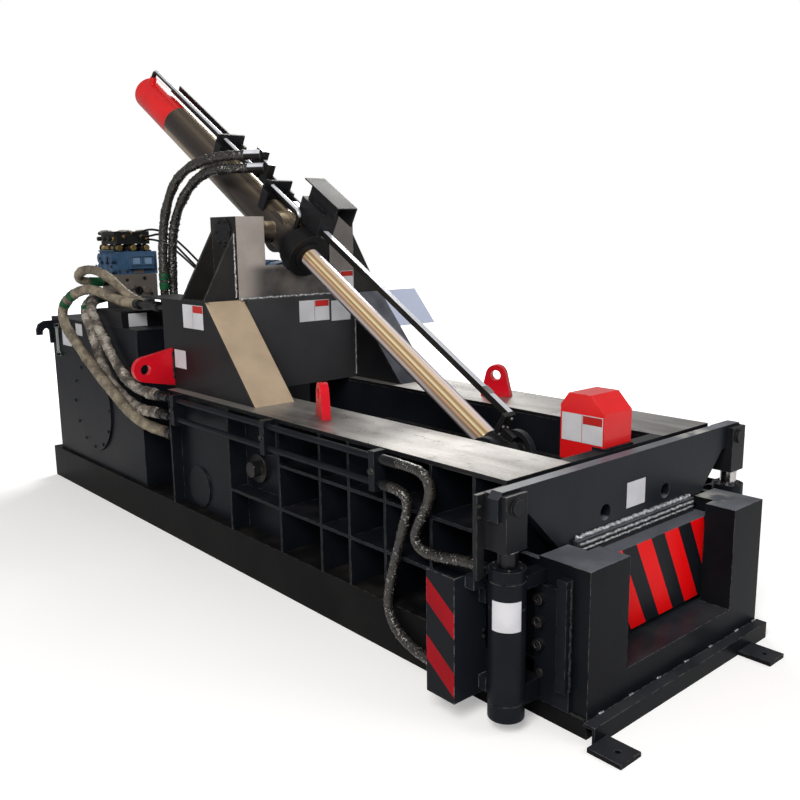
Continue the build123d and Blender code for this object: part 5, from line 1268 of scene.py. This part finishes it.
@dataclass
class Welds:
    """Weld beads, each from a start to an end with a radius and a seed: bare ones bright, painted ones dark."""

    sill_sides: tuple[float, ...] = (-0.58, -0.375, -0.17, 0.047, 0.253, 0.49, 0.655)
    bare: tuple[Bead, ...] = (
        ((-2.824, -0.445, 1.575), (-2.824, 0.445, 1.575), 0.0085, 1),
        ((-2.849, -0.457, 1.58), (-2.849, -0.457, 1.975), 0.0065, 2),
        ((-2.849, 0.457, 1.58), (-2.849, 0.457, 1.975), 0.0065, 3),
        ((-2.776, 0.413, 1.02), (-2.776, 0.413, 1.4), 0.0045, 40))
    painted: tuple[Bead, ...] = (
        ((-2.802, -0.68, 1.574), (-3.13, -0.68, 1.574), 0.006, 30),
        ((-0.004, -0.676, 0.085), (-0.24, -0.676, 0.085), 0.006, 31),
        ((-0.072, -0.694, 0.645), (-0.072, -0.694, 0.18), 0.006, 32),
        ((-3.276, -0.69, 1.06), (-3.276, -0.69, 1.24), 0.006, 33),
        ((-3.708, -0.734, 1.31), (-3.708, -0.734, 1.13), 0.006, 4))
    gate: tuple[Bead, ...] = (
        ((-0.249, -0.44, 0.709), (-0.249, 0.44, 0.709), 0.0095, 5),
        ((-0.228, -0.44, 0.685), (-0.228, 0.44, 0.685), 0.006, 6),
        ((-0.228, -0.44, 0.662), (-0.228, 0.44, 0.662), 0.005, 7))

    def beads(self, rows: tuple[Bead, ...]) -> Surface:
        """Makes the beads of some rows.

        Args:
            rows: the rows.
        Returns:
            A surface with the beads.
        """
        surface = Surface()
        for start, end, radius, seed in rows:
            add_bead(surface, [start, end], radius, seed)
        return surface

    def build(self) -> None:
        """Makes the beads of the frame, the gate and the lid cylinder."""
        bright, gate, ring = self.beads(self.bare), self.beads(self.gate), Surface()
        for number, side in enumerate(self.sill_sides):
            add_bead(bright, [(0.002, side - 0.015, 0.083), (0.002, side + 0.015, 0.083)], 0.0045, 20 + number)
        bright.piece("bare_welds", WELD, "root", 60)
        self.beads(self.painted).mirrored().piece("painted_welds", DARK_WELD, "root", 60)
        for side in (-0.84, 0.84):
            add_bead(gate, circle((-0.27, side, 0.758), UP, 0.041), 0.004, 8)
        gate.piece("gate_welds", WELD, "gate", 60)
        for side in (-0.088, 0.088):
            add_bead(ring, circle((float(TRUNNION[0]), side, float(TRUNNION[2])), (0, 1, 0), 0.074), 0.005, 9)
        ring.piece("trunnion_welds", WELD, "lid_cylinder", 60)


@dataclass
class Labels:
    """Blank plates: white ones, some with a red field over a share of their height, set flat on the faces.

    Each row of plates has the way its face looks, the face's place, then the plate's start and end along the
    face, its bottom and top, and the red share.
    """

    thick: float = 0.0008
    gap: float = 0.004
    bevel: float = 0.0003
    plates: tuple[tuple, ...] = (
        (NEAR, -0.685, -3.12, -2.995, 1.4, 1.547, 0.0), (NEAR, -0.685, -2.993, -2.865, 1.4, 1.547, 0.32),
        (NEAR, -0.685, -3.263, -3.113, 1.135, 1.252, 0.0), (FRONT, -2.78, -0.041, 0.078, 1.406, 1.543, 0.0),
        (FRONT, -2.78, 0.08, 0.198, 1.406, 1.543, 0.32), (FRONT, -2.78, 0.215, 0.374, 1.396, 1.53, 0.0),
        (FRONT, -2.83, 0.334, 0.445, 1.6, 1.72, 0.3), (FRONT, -3.95, -0.674, -0.536, 1.342, 1.435, 0.0),
        (NEAR, -0.73, -5.079, -4.9, 1.125, 1.255, 0.0), (NEAR, -0.73, -4.79, -4.665, 1.225, 1.315, 0.0),
        (NEAR, -0.104, -0.6, -0.487, 1.02, 1.15, 0.0), (NEAR, -0.104, -0.485, -0.372, 1.02, 1.15, 0.32))
    gate_plate: tuple = (FRONT, -0.255, -0.076, 0.066, 0.755, 0.873, 0.0)
    curve_centre: Point = (-0.27, -0.84, 0.0)
    curve_profile: Pairs = (
        (0.0752, 0.445), (0.076, 0.4455), (0.076, 0.5695), (0.0752, 0.57))

    def plate(self, white: Surface, red: Surface, row: tuple) -> None:
        """Adds a plate on a face.

        Args:
            white: the surface of the white parts.
            red: the surface of the red parts.
            row: the plate's row, as the class says.
        """
        out, face, start, end, bottom, top, share = row
        ends = [(side, face) if out is NEAR else (face, side) for side in (start, end)]
        lift = np.array(out) * self.thick
        foot, tip = np.array((*ends[0], bottom)), np.array((*ends[1], top)) + lift
        white.block(tuple(foot), tuple(tip), self.bevel)
        if share:
            edge = (np.abs(out) < 0.5) * np.array([self.gap, self.gap, 0.0])
            base = np.array([foot[0], foot[1], tip[2] - (tip[2] - foot[2]) * share])
            grow = lift * 0.6
            red.block(tuple(np.minimum(base, tip) + edge + grow),
                      tuple(np.maximum(base, tip) - edge - np.array([0, 0, self.gap]) + grow), self.bevel)

    def build(self) -> None:
        """Makes the plates of the frame and the gate, and the curved one on the gate cylinder."""
        white, red, moving = Surface(), Surface(), Surface()
        for row in self.plates:
            self.plate(white, red, row)
        angle = np.radians(np.linspace(-98, -2, 40))
        out = np.stack([np.cos(angle), np.sin(angle), np.zeros(40)], axis=1)
        rings = [np.array(self.curve_centre) + out * radius + np.array([0, 0, height])
                 for radius, height in self.curve_profile]
        white.grid(np.stack(rings, axis=1)).piece("labels", PAPER)
        red.piece("label_fields", LABEL_RED)
        self.plate(moving, red, self.gate_plate)
        moving.piece("gate_label", PAPER, "gate")


@dataclass
class ValveGroup:
    """Windows, ribs, screws, plugs, knobs and scraps of film on the valve and its block."""

    face: float = -4.535
    boss: float = -4.5
    pockets: Pairs = ((-0.374, -0.291), (-0.279, -0.196))
    pocket_heights: tuple[float, float] = (1.746, 1.814)
    band: float = 0.004
    ribs: int = 6
    rear_screws: Pairs = ((-4.85, 1.74), (-4.78, 1.8), (-4.64, 1.8), (-4.57, 1.74))
    spool_sides: tuple[float, ...] = (-0.44, -0.33, -0.22)
    spool_stations: tuple[float, ...] = (-4.855, -4.69, -4.6)
    knob_stations: tuple[float, ...] = (-4.795, -4.7, -4.605)
    scrap_rows: tuple[tuple[float, float, float, float], ...] = (
        (-4.8, -0.43, 0.05, 0.045), (-4.7, -0.33, 0.055, 0.05), (-4.62, -0.22, 0.045, 0.05),
        (-4.84, -0.235, 0.03, 0.04))

    def build(self) -> None:
        """Makes what lies on the front, then the screws, then what lies on top."""
        self.front()
        self.screws()
        self.scraps()
        self.top()

    def front(self) -> None:
        """Makes the two pale windows with their frames, the ribs on the valve and its blank plate."""
        windows, frames, plate = Surface(), Surface(), Surface()
        low, high = self.pocket_heights
        for start, end in self.pockets:
            windows.block((self.boss - 0.02, start + 0.005, low + 0.005),
                          (self.boss - 0.008, end - 0.005, high - 0.005), 0.003)
            for side in (start, end):
                frames.block((self.boss, side - self.band, low - self.band),
                             (self.boss + 0.006, side + self.band, high + self.band))
            for height in (low, high):
                frames.block((self.boss, start, height - self.band), (self.boss + 0.006, end, height + self.band))
        windows.piece("valve_windows", PALE_BLUE)
        for number in range(self.ribs):
            side = -0.475 + number * 0.06
            frames.block((-4.87, side, 1.85), (-4.6, side + 0.018, 1.861), 0.004)
        frames.piece("valve_ribs", VALVE_BLUE)
        plate.block((self.face, -0.345, 1.687), (self.face + 0.003, -0.262, 1.716), 0.001)
        plate.piece("valve_plate", MANIFOLD)

    def screws(self) -> None:
        """Makes the screws of the valve and the plugs of its block."""
        screws = Surface()
        for side in (-0.46, -0.4, -0.19):
            add_socket_screw(screws, (self.face, side, 1.705), FRONT, 0.009)
        for station, height in self.rear_screws:
            add_socket_screw(screws, (station, -0.5, height), NEAR, 0.01)
        screws.ring_shape([(0, 0.03), (0.012, 0.03), (0.014, 0.026), (0.014, 0.014), (0.006, 0.013), (0.006, 0.001)],
                          (self.boss, -0.332, 1.559), FRONT, 40)
        for side, height in ((-0.281, 1.65), (-0.42, 1.64), (-0.23, 1.53)):
            screws.ring_shape([(0, 0.014), (0.008, 0.014), (0.01, 0.01), (0.01, 0.001)],
                              (self.boss, side, height), FRONT, 6)
        screws.piece("valve_screws", DARK_STEEL)

    def top(self) -> None:
        """Makes the rings on the spool caps, and the knobs and nuts of the pilot valves."""
        rings, knobs, nuts = Surface(), Surface(), Surface()
        for side in self.spool_sides:
            for station in self.spool_stations:
                rings.ring_shape([(0, 0.0225), (0.002, 0.0295), (0.01, 0.0305), (0.018, 0.0295), (0.02, 0.0225)],
                                 (station, side, 1.878), FRONT, 40)
        rings.piece("spool_rings", BLACK_PLASTIC)
        for station in self.knob_stations:
            nuts.ring_shape([(-0.002, 0.019), (0.012, 0.019), (0.014, 0.015), (0.02, 0.014), (0.02, 0.001)],
                            (station, -0.455, 1.948), NEAR, 6)
            knobs.ring_shape([(0.018, 0.013), (0.022, 0.017), (0.046, 0.016), (0.05, 0.011), (0.05, 0.001)],
                             (station, -0.455, 1.948), NEAR, 32)
        for side, height in ((-0.4, 1.962), (-0.33, 1.988), (-0.26, 1.96), (-0.215, 1.94)):
            nuts.ring_shape([(-0.002, 0.014), (0.014, 0.014), (0.017, 0.011), (0.017, 0.001)],
                            (-4.56, side, height), FRONT, 6)
        knobs.piece("pilot_knobs", BLACK_PLASTIC)
        nuts.piece("pilot_nuts", BRASS)

    def scraps(self) -> None:
        """Makes scraps of film on the pilot valves: flattened balls whose radius is creased by crossed waves."""
        film = Surface()
        across = np.linspace(0, 2 * math.pi, 40, endpoint=False)[None, :]
        down = np.linspace(0.02, math.pi - 0.02, 26)[:, None]
        for number, (east, side, long, wide) in enumerate(self.scrap_rows):
            crease = (0.22 * (1 - np.abs(np.sin(3 * across + 4 * down + number)))
                      - 0.18 * np.abs(np.sin(5 * across - 7 * down + 2 * number)))
            reach = 1 + crease * np.sin(down)
            film.grid(np.stack([
                east + long * reach * np.sin(down) * np.cos(across),
                side + wide * reach * np.sin(down) * np.sin(across),
                2.0 + 0.014 * reach * np.cos(down)], axis=-1))
        film.piece("film_scraps", CLEAR_FILM, "root", 70)


@dataclass
class MotorShell:
    """Cooling fins round the motor's housing, and the rings over its fan."""

    side: float = 0.33
    height: float = 1.59
    rear: float = -4.12
    front: float = -3.6
    base: float = 0.1802
    fins: int = 44
    fan: float = -3.478
    rings: tuple[float, ...] = (0.045, 0.075, 0.105, 0.135)

    def build(self) -> None:
        """Makes the shell, whose radius rises at each fin as the angle goes round, and the rings."""
        angle = np.linspace(0, 2 * math.pi, self.fins * 6, endpoint=False)[None, :]
        rise = 0.1805 + 0.011 * np.clip(np.cos(angle * self.fins) * 3, 0, 1) - self.base
        size = self.base + rise * np.array([0.0, 1.0, 1.0, 0.0])[:, None]
        station = np.array([self.rear, self.rear + 0.002, self.front - 0.002, self.front])[:, None]
        rows = [station + 0 * size, self.side + np.cos(angle) * size, self.height + np.sin(angle) * size]
        Surface().grid(np.stack(rows, axis=-1)).piece("motor_fins", VALVE_BLUE, "root", 25)
        cover = Surface()
        for radius in self.rings:
            cover.tube(circle((self.fan, self.side, self.height), FRONT, radius, 90), 0.0032, 8)
        cover.piece("fan_guard_rings", DARK_STEEL, "root", 60)


@dataclass
class GaugeBlocks:
    """The blocks that hold the ends of the tank's level gauge."""

    heights: tuple[float, float] = (1.03, 1.262)

    def build(self) -> None:
        """Makes the two blocks."""
        blocks = Surface()
        for height in self.heights:
            blocks.block((-5.178, -0.762, height), (-5.142, -0.73, height + 0.028), 0.004)
        blocks.piece("gauge_blocks", BLACK_PLASTIC)


# CAD nodes that keep their shape and get a finish


NODE_FINISHES = {
    DUSKY_PAINT: "cross_beam",
    PIPE_PAINT: "cylinder_pipes guide_bar",
    PAINT: "tower_box_near tower_box_far bearing_caps cylinder_brackets "
           "sensor_head valve_stand gate_forks",
    SIDE_PAINT: "side_wall_near side_wall_far oil_tank tank_cover gate_guides pipe_clamps side_pipes "
                "gate_cylinders lock_bracket",
    DEEP_PAINT: "chamber_floor ram_head main_cylinder lid front_wall",
    SKID_PAINT: "skid_frame",
    FRAME_PAINT: "front_frame anchor_feet",
    BEAM_PAINT: "gate_beam",
    GUARD_PAINT: "guards",
    GATE_PAINT: "gate",
    FLANGE_STEEL: "top_flanges",
    YOKE_PAINT: "trunnion_yoke",
    SLOPE_STEEL: "slope_plates",
    BARREL_PAINT: "cylinder_barrel",
    RED_PAINT: "cylinder_cap lock_cover",
    LUG_PAINT: "lifting_lugs side_lugs",
    CHROME: "lid_rod main_rod",
    GATE_CHROME: "gate_rods",
    STEEL: "motor_rotor",
    DARK_STEEL: "hose_fittings rod_eye lid_hinge_pins guide_screws lock_guide lock_bolt lock_cylinder",
    BRASS: "spool_caps",
    VALVE_BLUE: "main_valve motor pump",
    MANIFOLD: "valve_manifold",
    BLACK_PLASTIC: "pilot_valves",
    GLASS: "level_gauge",
}


def dress_nodes(nodes: dict[str, Thing]) -> None:
    """Gives each CAD node its finish, in every material slot that it has.

    Args:
        nodes: the CAD nodes by name.
    """
    done = set()
    for finish, names in NODE_FINISHES.items():
        for name in names.split():
            mesh = nodes[name].data
            for index in range(len(mesh.materials)):
                mesh.materials[index] = finish.material()
            done.add(name)
    log.info("dressed %d nodes, left to hoses: %s", len(done), sorted(set(nodes) - done))


def main() -> None:
    """Builds the scene, one sub-assembly after another."""
    logging.basicConfig(level=logging.INFO, format="%(name)s: %(message)s")
    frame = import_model()
    Studio().build()
    for hose in HOSES:
        hose.build()
    dress_nodes(frame["nodes"])
    for assembly in (Fasteners(), Welds(), Labels(), ValveGroup(), MotorShell(), GaugeBlocks()):
        assembly.build()


if __name__ == "__main__":
    main()
